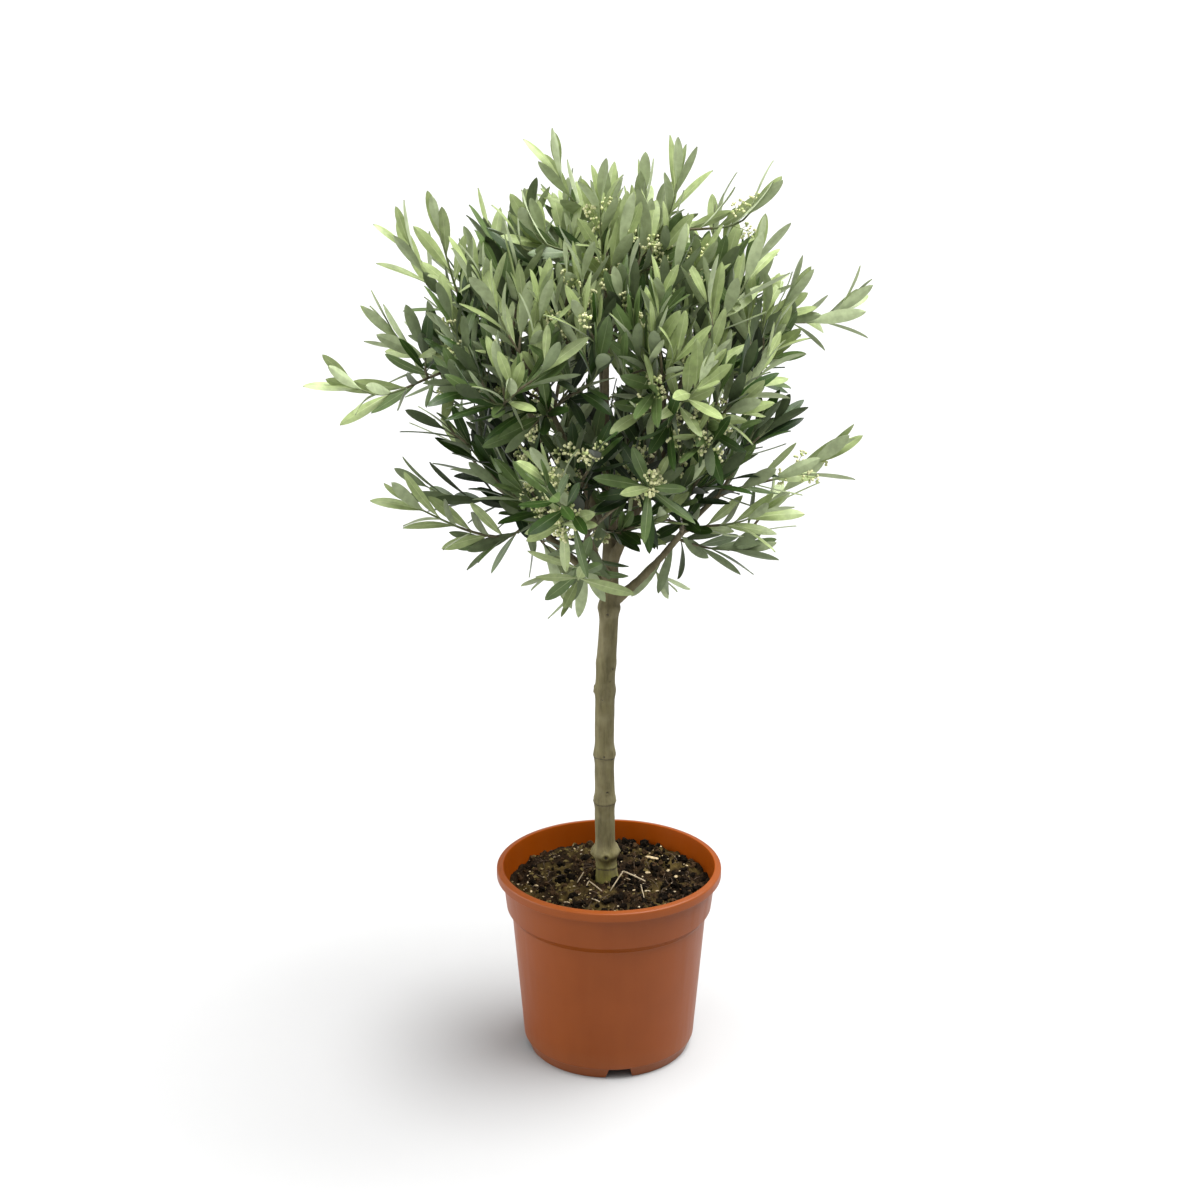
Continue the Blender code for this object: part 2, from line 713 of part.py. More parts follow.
def limb_segments(plans):
    """(start, end, radius) of every stretch of the trunk and the boughs."""
    lines = [(trunk_points(), [trunk_radius(point.z) for point in trunk_points()])]
    lines += [(points, radii) for _, _, points, radii in plans]
    return [
        (points[i], points[i + 1], max(radii[i], radii[i + 1]))
        for points, radii in lines
        for i in range(len(points) - 1)
    ]


# The foliage: its solids


def triangle_profile():
    """The three-sided section of the twigs, one unit in radius."""
    curve = bpy.data.curves.new("twig_section", "CURVE")
    curve.dimensions = "2D"
    curve.fill_mode = "NONE"
    spline = curve.splines.new("POLY")
    spline.use_cyclic_u = True
    spline.points.add(2)
    for knot, angle in zip(spline.points, (330, 210, 90)):
        knot.co = (math.cos(math.radians(angle)), math.sin(math.radians(angle)), 0, 1)
    made = bpy.data.objects.new("twig_section", curve)
    bpy.context.scene.collection.objects.link(made)
    made.hide_render = True
    return made


def leaf_solid(corners, group):
    mesh = bpy.data.meshes.new("leaf")
    form = bmesh.new()
    bmesh.ops.convex_hull(form, input=[form.verts.new(corner) for corner in corners])
    bmesh.ops.recalc_face_normals(form, faces=form.faces)
    form.to_mesh(mesh)
    form.free()
    return placed("leaf", mesh, group)


def outer_shell(mesh):
    """Keeps the largest closed shell: sealed hollows are filled and loose scraps are dropped."""
    form = bmesh.new()
    form.from_mesh(mesh)
    shells, left = [], set(form.verts)
    while left:
        found, edge = set(), {left.pop()}
        while edge:
            vert = edge.pop()
            found.add(vert)
            edge |= {e.other_vert(vert) for e in vert.link_edges} - found
        left -= found
        shells.append(found)
    keep = max(shells, key=len)
    bmesh.ops.delete(form, geom=[v for v in form.verts if v not in keep], context="VERTS")
    form.to_mesh(mesh)
    form.free()


def build_mass(mass, profile, parts):
    """Twigs and leaves joined to the stem by one union."""
    joined = collection(f"pieces_of_{mass.name}")
    twigs = [
        as_mesh(limb("twig", points, radii, joined, profile=profile)) for points, radii in mass.twigs
    ]
    for corners in mass.leaves:
        leaf_solid(corners, joined)
    stem = twigs[0]
    stem.name = f"foliage_{mass.name}"
    joined.objects.unlink(stem)
    parts.objects.link(stem)
    boolean(stem, "UNION", joined)
    made = as_mesh(stem)
    made.data.materials.clear()
    made.data.materials.append(material("olive_leaf"))
    outer_shell(made.data)
    for piece in list(joined.objects):
        bpy.data.objects.remove(piece)
    bpy.data.collections.remove(joined)


def build_foliage(plans, parts):
    limbs = limb_segments(plans)
    masses = [Mass(plan, plans, limbs) for plan in plans]
    leading, places = leading_ends(), crown_places()
    profile = triangle_profile()
    for mass in masses:
        mass.grow(leading, places)
        build_mass(mass, profile, parts)
    bpy.data.objects.remove(profile)


def main():
    for obj in list(bpy.data.objects):
        bpy.data.objects.remove(obj)
    parts = collection("olive_standard_in_pot")
    cutters = collection("cutters")
    build_pot(parts, cutters)
    build_soil(parts)
    build_trunk("trunk", parts, finish="olive_bark")
    plans = bough_plans()
    build_boughs(plans, parts, cutters)
    build_foliage(plans, parts)


main()
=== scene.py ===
"""The looks of a standard olive tree in a nursery pot: finishes, bark, twigs, leaves, buds and soil.

Metres, the origin on the floor under the pot's axis, +Z up and -Y to the front. The trunk, the boughs
and the masses of foliage repeat the model's own sizes and rule of growth, which goes on here to more
and finer shoots with leaves of life size.
"""

import math

import bmesh
import bpy
import numpy as np
from mathutils import Matrix, Vector, noise


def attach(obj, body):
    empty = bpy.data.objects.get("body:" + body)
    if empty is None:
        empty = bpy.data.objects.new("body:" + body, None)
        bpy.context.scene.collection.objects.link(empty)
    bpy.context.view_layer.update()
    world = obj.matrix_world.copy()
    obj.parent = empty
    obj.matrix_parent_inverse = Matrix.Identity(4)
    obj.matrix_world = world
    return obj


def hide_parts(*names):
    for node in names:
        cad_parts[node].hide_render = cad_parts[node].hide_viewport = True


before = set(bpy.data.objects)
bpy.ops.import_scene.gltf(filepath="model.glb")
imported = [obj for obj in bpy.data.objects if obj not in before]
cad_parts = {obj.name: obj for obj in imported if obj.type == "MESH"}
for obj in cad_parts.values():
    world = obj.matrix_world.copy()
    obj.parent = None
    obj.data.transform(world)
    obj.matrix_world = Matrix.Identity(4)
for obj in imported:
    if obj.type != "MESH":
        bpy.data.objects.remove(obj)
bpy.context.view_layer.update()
SEED = 7

# The pot, as in the model: outer radii and heights, from the rolled rim down to the foot. Only the
# notches in the foot are a little higher here, and the one on the left is 2 degrees further round.
POT_HEIGHT = 0.185
RIM_RADIUS = 0.1062
RIM_DEPTH = 0.0096
RIM_FALL = 0.0012  # the rim's outer edge is this much lower than its lip
MOUTH_RADIUS = 0.1000
COLLAR_TOP_RADIUS = 0.1008
COLLAR_FOOT_RADIUS = 0.0970
COLLAR_FOOT_HEIGHT = 0.1440
BODY_TOP_RADIUS = 0.0922
BODY_TOP_HEIGHT = 0.1383
BODY_FOOT_RADIUS = 0.0817
LEDGE_ROUND = 0.0008
FOOT_TOP_RADIUS = 0.0809
FOOT_RADIUS = 0.0766
FOOT_HEIGHT = 0.0116
FOOT_RING_WIDTH = 0.0030
WALL = 0.0021
FLOOR_TOP = 0.0122
FLOOR_ROUND = 0.0035
POT_STEPS = 180
NOTCH_AZIMUTHS = tuple(math.radians(a) for a in (-83, 14, 97, -168))
NOTCH_HEIGHT = 0.0108
NOTCH_TOP_WIDTH = 0.020
NOTCH_FOOT_WIDTH = 0.0255
NOTCH_REACH = 0.008
BELOW_FLOOR = 0.002
DRAIN_AZIMUTHS = tuple(math.radians(a) for a in (-35, 55, 145, -125))
DRAIN_RADIUS = 0.006
DRAIN_DEPTH = 0.010
DRAIN_RING_RADIUS = 0.050
DRAIN_SIDES = 24
CREASE = math.radians(38)  # edges sharper than this stay sharp in the shading
DUST_HEIGHT = 0.030  # dust lies on the pot's foot up to here

# The soil.
SOIL_LEVEL = 0.1620
SOIL_HEAP = 0.0035
SOIL_TOP = SOIL_LEVEL + SOIL_HEAP
SOIL_WALL_RADIUS = 0.0970
SOIL_FOOT = FLOOR_TOP + 0.0003
SOIL_RINGS = 76
SOIL_STEPS = 210
SOIL_OCTAVES = ((0.020, 0.0034), (0.0090, 0.0046), (0.0042, 0.0034), (0.0018, 0.0014))  # size, height
SOIL_RISE = 0.0045  # towards the back
SOIL_EDGE_START = 0.086  # from this radius out the soil has shrunk from the wall
SOIL_EDGE_FALL = 0.0050
SOIL_EDGE_SIDE = math.radians(150)  # most on this side, by the next share
SOIL_EDGE_LEAN = 0.8
CRUMBS = (  # count, least and greatest radius, the side it lies more on, name, dark tone, light tone
    (420, 0.0009, 0.0042, 1, "peat_dark", (0.0015, 0.001, 0.0007), (0.010, 0.007, 0.004)),
    (420, 0.0007, 0.0034, 0, "peat_brown", (0.014, 0.008, 0.004), (0.072, 0.042, 0.020)),
    (420, 0.0005, 0.0022, -1, "peat_moss", (0.055, 0.041, 0.012), (0.190, 0.142, 0.055)),
)
CRUMB_LUMPS = 0.25  # of its radius, as is its rise
CRUMB_MOST_LUMP = 1.5  # of CRUMB_LUMPS
CRUMB_RISE = 0.2
CRUMB_STRETCH = (0.6, 1.2)
LITTER_INSET = 0.004  # from the pot's wall
TRUNK_INSET = 0.011  # from the trunk's middle
FLECKS = 170
FLECK_RADIUS = (0.0004, 0.0013)
FLECK_STRETCH = (1, 2.4)
FLECK_FLATNESS = 0.35
FLECK_RISE = 0.0006
FIBRES = 160
FIBRE_LENGTH = (0.005, 0.022)
FIBRE_RADIUS = (0.00014, 0.0003)
FIBRE_BEND = 0.0018
FIBRE_ARCH = 0.0022
FIBRE_INSET = 0.003  # from the pot's wall
FIBRE_POINTS = 8
FIBRE_SIDES = 4
STRAW_ARCH = 0.0006
STRAW_POINTS = 6
STRAW_SIDES = 6
STRAWS = (  # the larger stalks on the soil: from (x, y) and height above it to (x, y) and height, width
    ((0.0010, -0.0160, 0.001), (0.0135, -0.0030, 0.013), 0.0013),
    ((0.0135, -0.0030, 0.013), (0.0340, -0.0110, 0.009), 0.0015),
    ((0.0300, -0.0080, 0.006), (0.0330, -0.0260, 0.002), 0.0012),
    ((-0.0060, -0.0190, 0.001), (-0.0190, -0.0060, 0.007), 0.0012),
    ((-0.0190, -0.0060, 0.007), (-0.0210, -0.0120, 0.003), 0.0011),
    ((-0.0300, -0.0020, 0.002), (-0.0240, 0.0040, 0.004), 0.0011),
    ((-0.0420, -0.0360, 0.001), (-0.0370, -0.0420, 0.003), 0.0016),
    ((-0.0160, -0.0380, 0.002), (-0.0090, -0.0460, 0.002), 0.0013),
    ((0.0160, 0.0030, 0.004), (0.0230, -0.0060, 0.002), 0.0009),
)
CHIP_THICKNESS = 0.0022
CHIP_RISE = 0.0016
CHIP_LUMPS = 0.10
CHIPS = (  # the larger pieces of wood: (x, y), length, width, turn in degrees
    ((0.0420, 0.0470), 0.0150, 0.0050, -28),
    ((0.0370, 0.0240), 0.0065, 0.0035, 8),
    ((0.0570, 0.0270), 0.0050, 0.0032, 60),
    ((0.0640, 0.0100), 0.0055, 0.0036, 75),
    ((-0.0640, -0.0130), 0.0060, 0.0030, 35),
    ((-0.0690, -0.0040), 0.0050, 0.0028, -20),
)

# The trunk and the boughs, as in the model.
HEART = Vector((0.0, 0.005, 0.500))
CROWN_CENTRE = Vector((-0.006, 0.0, 0.655))
TRUNK_LINE = (  # x, y, z
    (-0.0017, 0.0100, SOIL_TOP + 0.0003),
    (-0.0036, 0.0096, 0.205),
    (-0.0043, 0.0088, 0.290),
    (-0.0038, 0.0072, 0.360),
    (-0.0006, 0.0056, 0.425),
    (0.0006, 0.0046, 0.470),
    (0.0004, 0.0030, 0.530),
)
TRUNK_FOOT_RADIUS = 0.0095
TRUNK_FORK_RADIUS = 0.0087
TRUNK_TIP_RADIUS = 0.0056
FORK_HEIGHT = 0.441
FLARE = 0.0020
FLARE_HEIGHT = 0.008
RING_HALF_HEIGHT = 0.0055
TRUNK_RINGS = (  # height, extra radius
    (0.1925, 0.0040),
    (0.2465, 0.0016),
    (0.2935, 0.0014),
    (0.3570, 0.0012),
    (0.3840, 0.0007),
    (0.438, 0.0020),
)
TRUNK_STATIONS = 150
TRUNK_SIDES = 40
TRUNK_SUNK = 0.004  # the foot goes on into the soil
MASS_RINGS = (  # masses: name, count, radius and height of their sites, first azimuth; then the
    # height where their first bough leaves the trunk, and how much of the way to its site it goes
    ("low", 4, 0.115, 0.560, math.radians(-12), 0.4410, 0.58),
    ("high", 5, 0.122, 0.690, math.radians(-52), 0.4780, 0.46),
    ("top", 1, 0.000, 0.800, 0.0, 0.5280, 0.50),
)
BOUGH_STEP_UP = 0.0085
BOUGH_FOOT_RADIUS = 0.0046
BOUGH_TIP_RADIUS = 0.0028
BOUGH_COLLAR = 0.0014  # how much wider a bough is where it leaves the trunk
BOUGH_COLLAR_LENGTH = 0.009
BOUGH_SAG = 0.10
BOUGH_POINTS = 24
BOUGH_SIDES = 20
TOP_BOUGH_BEND = Vector((-0.004, -0.010, 0))
# Above this the trunk's and boughs' bark is darker: painted shade inside the crown.
BARK_CROWN_HEIGHT = 0.56  # where the bark is as inside the crown
BARK_VOXEL = 0.0008
BARK_RELIEF = ((0.0045, 0.00042), (0.0016, 0.00020))  # size across, height
BARK_STRETCH = 6.0  # along the limb
RIDGE_HEIGHT = 0.00045
RIDGE_HALF_WIDTH = 0.0009
RIDGE_WOBBLE = 0.0016
RIDGES = (0.1790, 0.2455, 0.2925)
# A band just below each ridge takes the dark finish, painted shade under the ridge: this dark, and this far
# below it.
RIDGE_PAINTED_SHADE = 0.8
RIDGE_PAINTED_SHADE_BELOW = 1.8  # of its half width
KNOT_RIM = 0.24  # its height and the pit's depth, of the knot's radius
KNOT_PIT = 0.26
KNOT_RIM_PLACE = 0.75
KNOT_WIDTH = 0.35  # of the rim and of the pit
KNOT_SHADE_WIDTH = 0.5
TRUNK_REACH = 0.016  # nothing of the trunk below the fork is further from its line
# Faces darker than this take the dark finish: knot scars, and painted shade below the ridges.
SCAR_AND_SHADE_SHARE = 0.55  # faces darker than this have the scars' finish
KNOTS = (  # height, azimuth in degrees, radius
    (0.1915, -88, 0.0042),
    (0.1960, 12, 0.0046),
    (0.1950, 186, 0.0044),
    (0.2570, -74, 0.0026),
    (0.2935, -92, 0.0024),
    (0.3500, -106, 0.0022),
    (0.3580, 178, 0.0038),
    (0.3680, -62, 0.0020),
    (0.3800, -48, 0.0030),
    (0.4340, -96, 0.0034),
    (0.4300, 150, 0.0026),
)

# The growth of the masses, as in the model, and its finer end.
CELL_MARGIN = 0.0004
LIMB_STATIONS = 30  # of the trunk, for the gaps between it and the foliage
LEADING_TIPS = (
    (-0.247, -0.060, 0.691),
    (-0.210, -0.040, 0.566),
    (-0.201, 0.050, 0.562),
    (-0.212, 0.030, 0.725),
    (-0.188, 0.020, 0.804),
    (-0.154, -0.050, 0.829),
    (-0.113, 0.040, 0.823),
    (-0.074, -0.090, 0.836),
    (-0.046, 0.000, 0.873),
    (-0.009, -0.060, 0.852),
    (0.031, 0.050, 0.844),
    (0.060, -0.010, 0.863),
    (0.100, 0.070, 0.835),
    (0.128, -0.040, 0.849),
    (0.129, -0.100, 0.814),
    (0.170, 0.020, 0.758),
    (0.230, 0.060, 0.742),
    (0.196, 0.030, 0.694),
    (0.214, -0.030, 0.617),
    (0.201, 0.040, 0.570),
    (0.159, -0.070, 0.569),
    (0.164, 0.020, 0.490),
    (0.079, 0.050, 0.440),
    (-0.052, -0.060, 0.448),
    (-0.087, 0.050, 0.445),
    (-0.149, 0.020, 0.502),
    (-0.060, -0.230, 0.640),
    (0.085, -0.205, 0.720),
    (0.020, 0.225, 0.740),
    (-0.090, 0.222, 0.740),
)
OPEN_WHORLS = (  # the ends of shoots that face the front with wide open leaves, low in the crown
    (-0.041, -0.120, 0.552),
    (0.033, -0.140, 0.589),
    (-0.028, -0.075, 0.488),
)
LEAVES_PER_MASS = {"low": 180, "high": 290, "top": 350}
SHOOT_PLACES = 9000
SHOOT_REACH = 0.165
UNDER_REACH = 0.18  # how much less of it there is straight down
UPPER_REACH = 0.10  # and straight up
SHOOT_DEPTH = 0.006
SHOOT_LEAST = 0.012
STEM_TIP_RADIUS = 0.0020
TWIG_FOOT_RADIUS = 0.0017
TWIG_TIP_RADIUS = 0.0007
TWIG_POINTS = 11
TWIG_SIDES = 6
YOUNG_ROW = 5  # from this row of faces on, a shoot has its green young bark
TWIG_LEAVING = 0.45
TWIG_LIFT = 1.10  # a shoot ends away from the heart and up to this much more upwards
LIFT_HEIGHTS = (0.50, 0.64)  # from the first of these to the second the lift grows to its full
LEAST_LIFT = 0.1
WIDE_LIFT = 0.7  # how much less of it there is at the crown's widest
CROWN_REACH = 0.25
LIFT_SHARES = (1.0, 0.5, 0.0)  # of the lift, tried in turn where a shoot would leave its space
TWIG_BOW = 0.36  # of its length, how far its ends keep their directions
TURN_COST = 1.6
LEAN_COST = 3.0  # of a way that does not follow the direction of the shoot's end
TWIG_RADIUS_START = 0.0009  # a shoot's radius at its foot grows from this with its length
TWIG_RADIUS_GROWTH = 0.010
NODE_SPACING = 0.012
PAIR_SPACING = 0.0160
PAIR_SPREAD = (0.8, 1.2)
FIRST_SPACING = 0.75  # the share of it between the first two pairs
WHORL_SPACING = 0.35  # and between all the pairs of an open whorl
WHORL_WAY = np.array((0.0, -1.0, 0.12))
FIRST_PAIR = 0.0015
TURN_SPREAD = 0.12
OPENING_SPREAD = (0.85, 1.15)
LEAF_LENGTH = 0.0480
LEAF_WIDTH = 0.0110
LEAF_SPREAD = (0.84, 1.14)
LEAF_OVERHANG = 0.86
PAIR_SIZES = (0.78, 0.97, 1.05, 1.03, 1.0, 0.95, 0.90)  # from the shoot's tip backwards
PAIR_OPENINGS = tuple(math.radians(a) for a in (8, 15, 22, 28, 33, 38, 42))
WHORL_OPENINGS = tuple(math.radians(a) for a in (46, 66, 78, 84, 88, 92, 95))
LEAF_SKYWARD = 0.30  # how far its upper face is rolled to the sky
LEAF_WIDTH_SPREAD = (0.85, 1.12)
LEAF_ARCH = (0.18, 0.22)  # middle and scatter, radians
LEAF_FOLD = (0.10, 0.38)
LEAF_TWIST = 0.22
LEAF_LIMB_GAP = 0.0010
LEAF_CROSSING = 0.003  # how far a leaf may reach past its mass's space
LEAF_GAP = 0.0042  # between the middles of leaves
LEAF_TRIES = (  # turn in degrees, share of the opening, size
    (0, 1.0, 1.0),
    (-25, 1.0, 1.0),
    (25, 1.1, 1.0),
    (-50, 0.8, 0.95),
    (50, 0.7, 0.9),
    (0, 0.5, 0.85),
)
LEAF_MIDDLES = (0.35, 0.65, 0.95)
# A leaf's tone is painted light and shade: sprays are lighter high up, outside and in front, darker deep
# inside and at the back, with a lighter band low in the crown.
LEAST_LIGHT = 0.26  # how light a spray's leaves are, 0 to 1, and what adds to it
UPPER_LIGHT = 0.78
OUTER_LIGHT = 0.31
FRONT_LIGHT = 0.4  # for each metre to the front
# A lighter band low in the crown: painted light on a part that lies in shade.
LOW_LIGHT = 0.26
LOW_LIGHT_HEIGHT = 0.575
LOW_LIGHT_SPREAD = 0.045
LIGHT_CHANCE = 0.38
UPPER_START = 0.47  # the height where UPPER_LIGHT adds nothing, and the span above it to its full
UPPER_SPAN = 0.36
# Older pairs, further back from the tip, are darker: partly the real darkening of older leaves, partly
# painted shade deeper in the crown.
PAIR_LIGHT = 0.08  # less for each pair back from the tip
TONE_SPREAD = 0.07

# The shape of a leaf: stations from its root to its tip, and places across each half.
LEAF_STATIONS = np.array((0.0, 0.05, 0.11, 0.20, 0.31, 0.43, 0.55, 0.67, 0.78, 0.88, 0.95, 1.0))
STALK_SHARE = 0.055
LEAF_ROOT_FORM = 0.95  # the higher these are, the more the blade narrows to that end
LEAF_TIP_FORM = 0.72
STALK_WIDTH = 0.0013
RIB_WIDTH = 0.0009
UPPER_PLACES = np.array((-1.0, -0.62, -0.5, 0.5, 0.62, 1.0))
UNDER_PLACES = np.array((-1.0, -0.5, 0.5, 1.0))
RIB_PLACE = 0.5  # the places up to this one are the midrib's
RIB_MOST = 0.8  # of the half width
LEAF_THICKNESS = 0.0005
RIB_RELIEF = 0.00022
LEAF_ROLL = 0.16
# From darkest to palest, dealt out as painted light and shade; the palest are also the young leaves at the
# shoots' tips.
TONES = ("deep", "green", "sage", "young")

# The buds.
PANICLE_SHARE = 0.07  # of the shoots away from the flowering places
PANICLE_CHANCE = 0.62  # at a leaf of a flowering shoot
FLOWERING_PAIRS = (1, 2, 3)  # pairs of leaves, from the tip, that have panicles
FLOWERING_REACH = 0.042
FLOWERING_PLACES = (
    (-0.034, -0.060, 0.820),
    (-0.020, -0.110, 0.755),
    (-0.030, -0.150, 0.625),
    (-0.002, -0.150, 0.612),
    (0.033, -0.140, 0.589),
    (0.052, -0.150, 0.650),
    (0.095, -0.120, 0.620),
    (0.110, -0.050, 0.805),
    (0.045, -0.050, 0.795),
    (-0.155, -0.080, 0.640),
    (-0.085, -0.120, 0.615),
    (-0.170, -0.050, 0.710),
    (-0.041, -0.115, 0.552),
    (0.140, 0.060, 0.730),
    (-0.060, 0.160, 0.720),
    (0.060, 0.150, 0.780),
    (-0.020, 0.170, 0.620),
)
PANICLE_LENGTH = (0.014, 0.026)
PANICLE_AHEAD = 0.75  # along the shoot, outwards and up
PANICLE_OUT = (0.4, 0.9)
PANICLE_UP = 0.2
PANICLE_WAVE = 0.0010
PANICLE_SIDES = 4
PANICLE_RADII = np.linspace(0.00050, 0.00030, 6)
BRANCH_PLACES = (0.38, 0.58, 0.76, 0.90)  # along the stalk
BRANCH_RADII = (0.0003, 0.00022)
BRANCH_REACH = 0.26  # of the stalk's length, and how much less at each further place
BRANCH_LESS = 0.045
BRANCH_AHEAD = 0.6
BRANCH_SPREAD = (0.8, 1.2)
FULL_BRANCHES = 2  # pairs of branches, from the stalk's foot, with two more buds each
SIDE_BUD = 0.0026
LOW_BUD = 0.0024
LOW_BUD_BACK = 0.0010
BUD_RADIUS = (0.00105, 0.00160)
BUD_STRETCH = (0.9, 1.2)
BUD_GREEN_SHARE = 0.30
BUD_SIDES = 6
BUD_BANDS = 4

# The camera and the stage.
CAMERA_PLACE = Vector((-0.0085, -1.8165, 1.0310))
CAMERA_PITCH = math.radians(90 - 17.83)
CAMERA_LENS = 63.0
FLOOR_SIZE = 60.0
FLOOR_TONE = 0.36
SURROUND_LIGHT = 0.47
LAMPS = (  # name, direction towards it, strength, angle across in degrees
    ("key", (0.36, 0.05, 1.0), 7.5, 50),
    ("front", (0.05, -0.50, 1.0), 1.4, 46),
    ("side", (-1.0, -0.02, 0.16), 3.3, 60),
)


# Finishes


class Finish:
    """A material in the making, and the nodes that feed its shader."""

    def __init__(self, name, roughness, **sockets):
        self.material = bpy.data.materials.new(name)
        self.material.use_nodes = True
        self.nodes, self.links = self.material.node_tree.nodes, self.material.node_tree.links
        self.shader = self.nodes["Principled BSDF"]
        for socket, value in dict(sockets, Roughness=roughness).items():
            self.shader.inputs[socket.replace("_", " ")].default_value = value

    def node(self, kind, links, values=()):
        """A new node with these links into it and these plain values."""
        made = self.nodes.new(kind)
        for socket, value in dict(values).items():
            made.inputs[socket].default_value = value
        for socket, source in links.items():
            self.links.new(source, made.inputs[socket])
        return made

    def feed(self, **sources):
        for socket, source in sources.items():
            self.links.new(source, self.shader.inputs[socket.replace("_", " ")])

    def where(self, stretch=(1, 1, 1)):
        """The object's own coordinates, scaled."""
        source = self.nodes.new("ShaderNodeTexCoord").outputs["Object"]
        return self.node("ShaderNodeMapping", {"Vector": source}, {"Scale": stretch}).outputs["Vector"]

    def height(self):
        """The height above the floor."""
        return self.node("ShaderNodeSeparateXYZ", {"Vector": self.where()}).outputs["Z"]

    def noise(self, scale, detail=4.0, roughness=0.55, stretch=(1, 1, 1)):
        values = {"Scale": scale, "Detail": detail, "Roughness": roughness}
        return self.node("ShaderNodeTexNoise", {"Vector": self.where(stretch)}, values).outputs["Fac"]

    def ramp(self, factor, *stops):
        """Colours at shares of the factor."""
        made = self.node("ShaderNodeValToRGB", {"Fac": factor})
        elements = made.color_ramp.elements
        while len(elements) < len(stops):
            elements.new(0.5)
        for element, (place, colour) in zip(elements, stops):
            element.position = place
            element.color = (*colour, 1.0)
        return made.outputs["Color"]

    def mixed(self, factor, first, second):
        """A colour's node mixed with a plain colour by the factor."""
        made = self.nodes.new("ShaderNodeMix")
        made.data_type = "RGBA"
        inputs = {socket.name: socket for socket in made.inputs if socket.enabled and socket.type != "VECTOR"}
        self.links.new(factor, inputs["Factor"])
        self.links.new(first, inputs["A"])
        inputs["B"].default_value = (*second, 1.0)
        return next(socket for socket in made.outputs if socket.enabled)

    def spread(self, factor, low, high, start=0.3, end=0.7):
        """The factor mapped from start..end to low..high."""
        values = {"From Min": start, "From Max": end, "To Min": low, "To Max": high}
        return self.node("ShaderNodeMapRange", {"Value": factor}, values).outputs["Result"]

    def bump(self, height, distance):
        values = {"Distance": distance, "Strength": 1.0}
        self.feed(Normal=self.node("ShaderNodeBump", {"Height": height}, values).outputs["Normal"])


def terracotta_plastic(name, deep, pale, specular):
    """Satin polypropylene with a fine moulded grain, faint clouds and dust towards the foot."""
    made = Finish(name, 0.42, Specular_IOR_Level=specular)
    colour = made.ramp(made.noise(22.0), (0.30, deep), (0.72, pale))
    streaks = made.noise(90.0, stretch=(1, 1, 0.08))
    colour = made.mixed(made.spread(streaks, 0.0, 0.12), colour, (0.27, 0.080, 0.018))
    dusty = made.spread(made.height(), 0.30, 0.0, 0.0, DUST_HEIGHT)
    patchy = made.node("ShaderNodeMath", {0: dusty, 1: made.noise(60.0)})
    patchy.operation = "MULTIPLY"
    colour = made.mixed(patchy.outputs[0], colour, (0.22, 0.12, 0.07))
    made.feed(Base_Color=colour, Roughness=made.spread(streaks, 0.36, 0.50))
    made.bump(made.noise(1500.0, 2.0), 0.00004)
    return made.material


def peat(name, dark, light, fleck=None):
    """Crumbly soil: two browns, and sometimes paler patches of moss."""
    made = Finish(name, 0.95, Specular_IOR_Level=0.05)
    grain = made.noise(420.0, 6.0, 0.7)
    colour = made.ramp(grain, (0.35, dark), (0.65, light))
    if fleck:
        colour = made.mixed(made.spread(made.noise(38.0, 3.0), 0.0, 0.85, 0.50, 0.66), colour, fleck)
    made.feed(Base_Color=colour)
    made.bump(grain, 0.0012)
    return made.material


def straw(name, colour):
    made = Finish(name, 0.6)
    darker = tuple(0.55 * part for part in colour)
    made.feed(Base_Color=made.ramp(made.noise(600.0), (0.3, darker), (0.6, colour)))
    return made.material


def bark(name, foot, middle, crown, scar):
    """Smooth olive bark, streaked along the limb by the scar's tone, browner inside the crown; where the
    crown's colour is darker, that is painted shade of the foliage.
    """
    made = Finish(name, 0.78, Specular_IOR_Level=0.3)
    streaks = made.noise(260.0, 5.0, 0.65, stretch=(1, 1, 0.16))
    share = made.spread(made.height(), 0.0, 1.0, SOIL_TOP, BARK_CROWN_HEIGHT)
    colour = made.ramp(share, (0.0, foot), (0.10, middle), (0.62, middle), (0.95, crown))
    colour = made.mixed(made.spread(streaks, 0.0, 0.75, 0.35, 0.72), colour, scar)
    blotches = made.spread(made.noise(55.0, 3.0), 0.0, 0.35, 0.45, 0.7)
    made.feed(Base_Color=made.mixed(blotches, colour, (0.27, 0.24, 0.14)))
    made.bump(streaks, 0.0009)
    return made.material


def leaf_finish(name, colour, roughness, sheen=0.0, mottle=0.14, specular=0.5):
    """A leaf's face: a plain tone with a faint mottle and a fine leathery grain."""
    made = Finish(name, roughness, Sheen_Weight=sheen, Specular_IOR_Level=specular)
    darker, lighter = (tuple(part * share for part in colour) for share in (1 - mottle, 1 + mottle))
    made.feed(Base_Color=made.ramp(made.noise(140.0, 3.0), (0.35, darker), (0.65, lighter)))
    made.bump(made.noise(900.0, 2.0), 0.00010)
    return made.material


# The four tones are shaded and lit copies of the same leaves, chosen by painted light.
LEAF_COLOURS = {  # upper face, midrib, under face
    "deep": ((0.006, 0.018, 0.002), (0.036, 0.056, 0.016), (0.014, 0.023, 0.007)),
    "green": ((0.022, 0.052, 0.006), (0.088, 0.124, 0.038), (0.050, 0.073, 0.025)),
    "sage": ((0.080, 0.125, 0.036), (0.175, 0.225, 0.090), (0.140, 0.180, 0.085)),
    "young": ((0.255, 0.315, 0.128), (0.360, 0.420, 0.205), (0.330, 0.390, 0.215)),
}


def leaf_materials(tone):
    upper, rib, under = LEAF_COLOURS[tone]
    return (
        leaf_finish(f"leaf_{tone}_upper", upper, 0.40, specular=0.34),
        leaf_finish(f"leaf_{tone}_rib", rib, 0.50, mottle=0.08),
        leaf_finish(f"leaf_{tone}_under", under, 0.72, sheen=0.15, specular=0.3),
    )


# Meshes


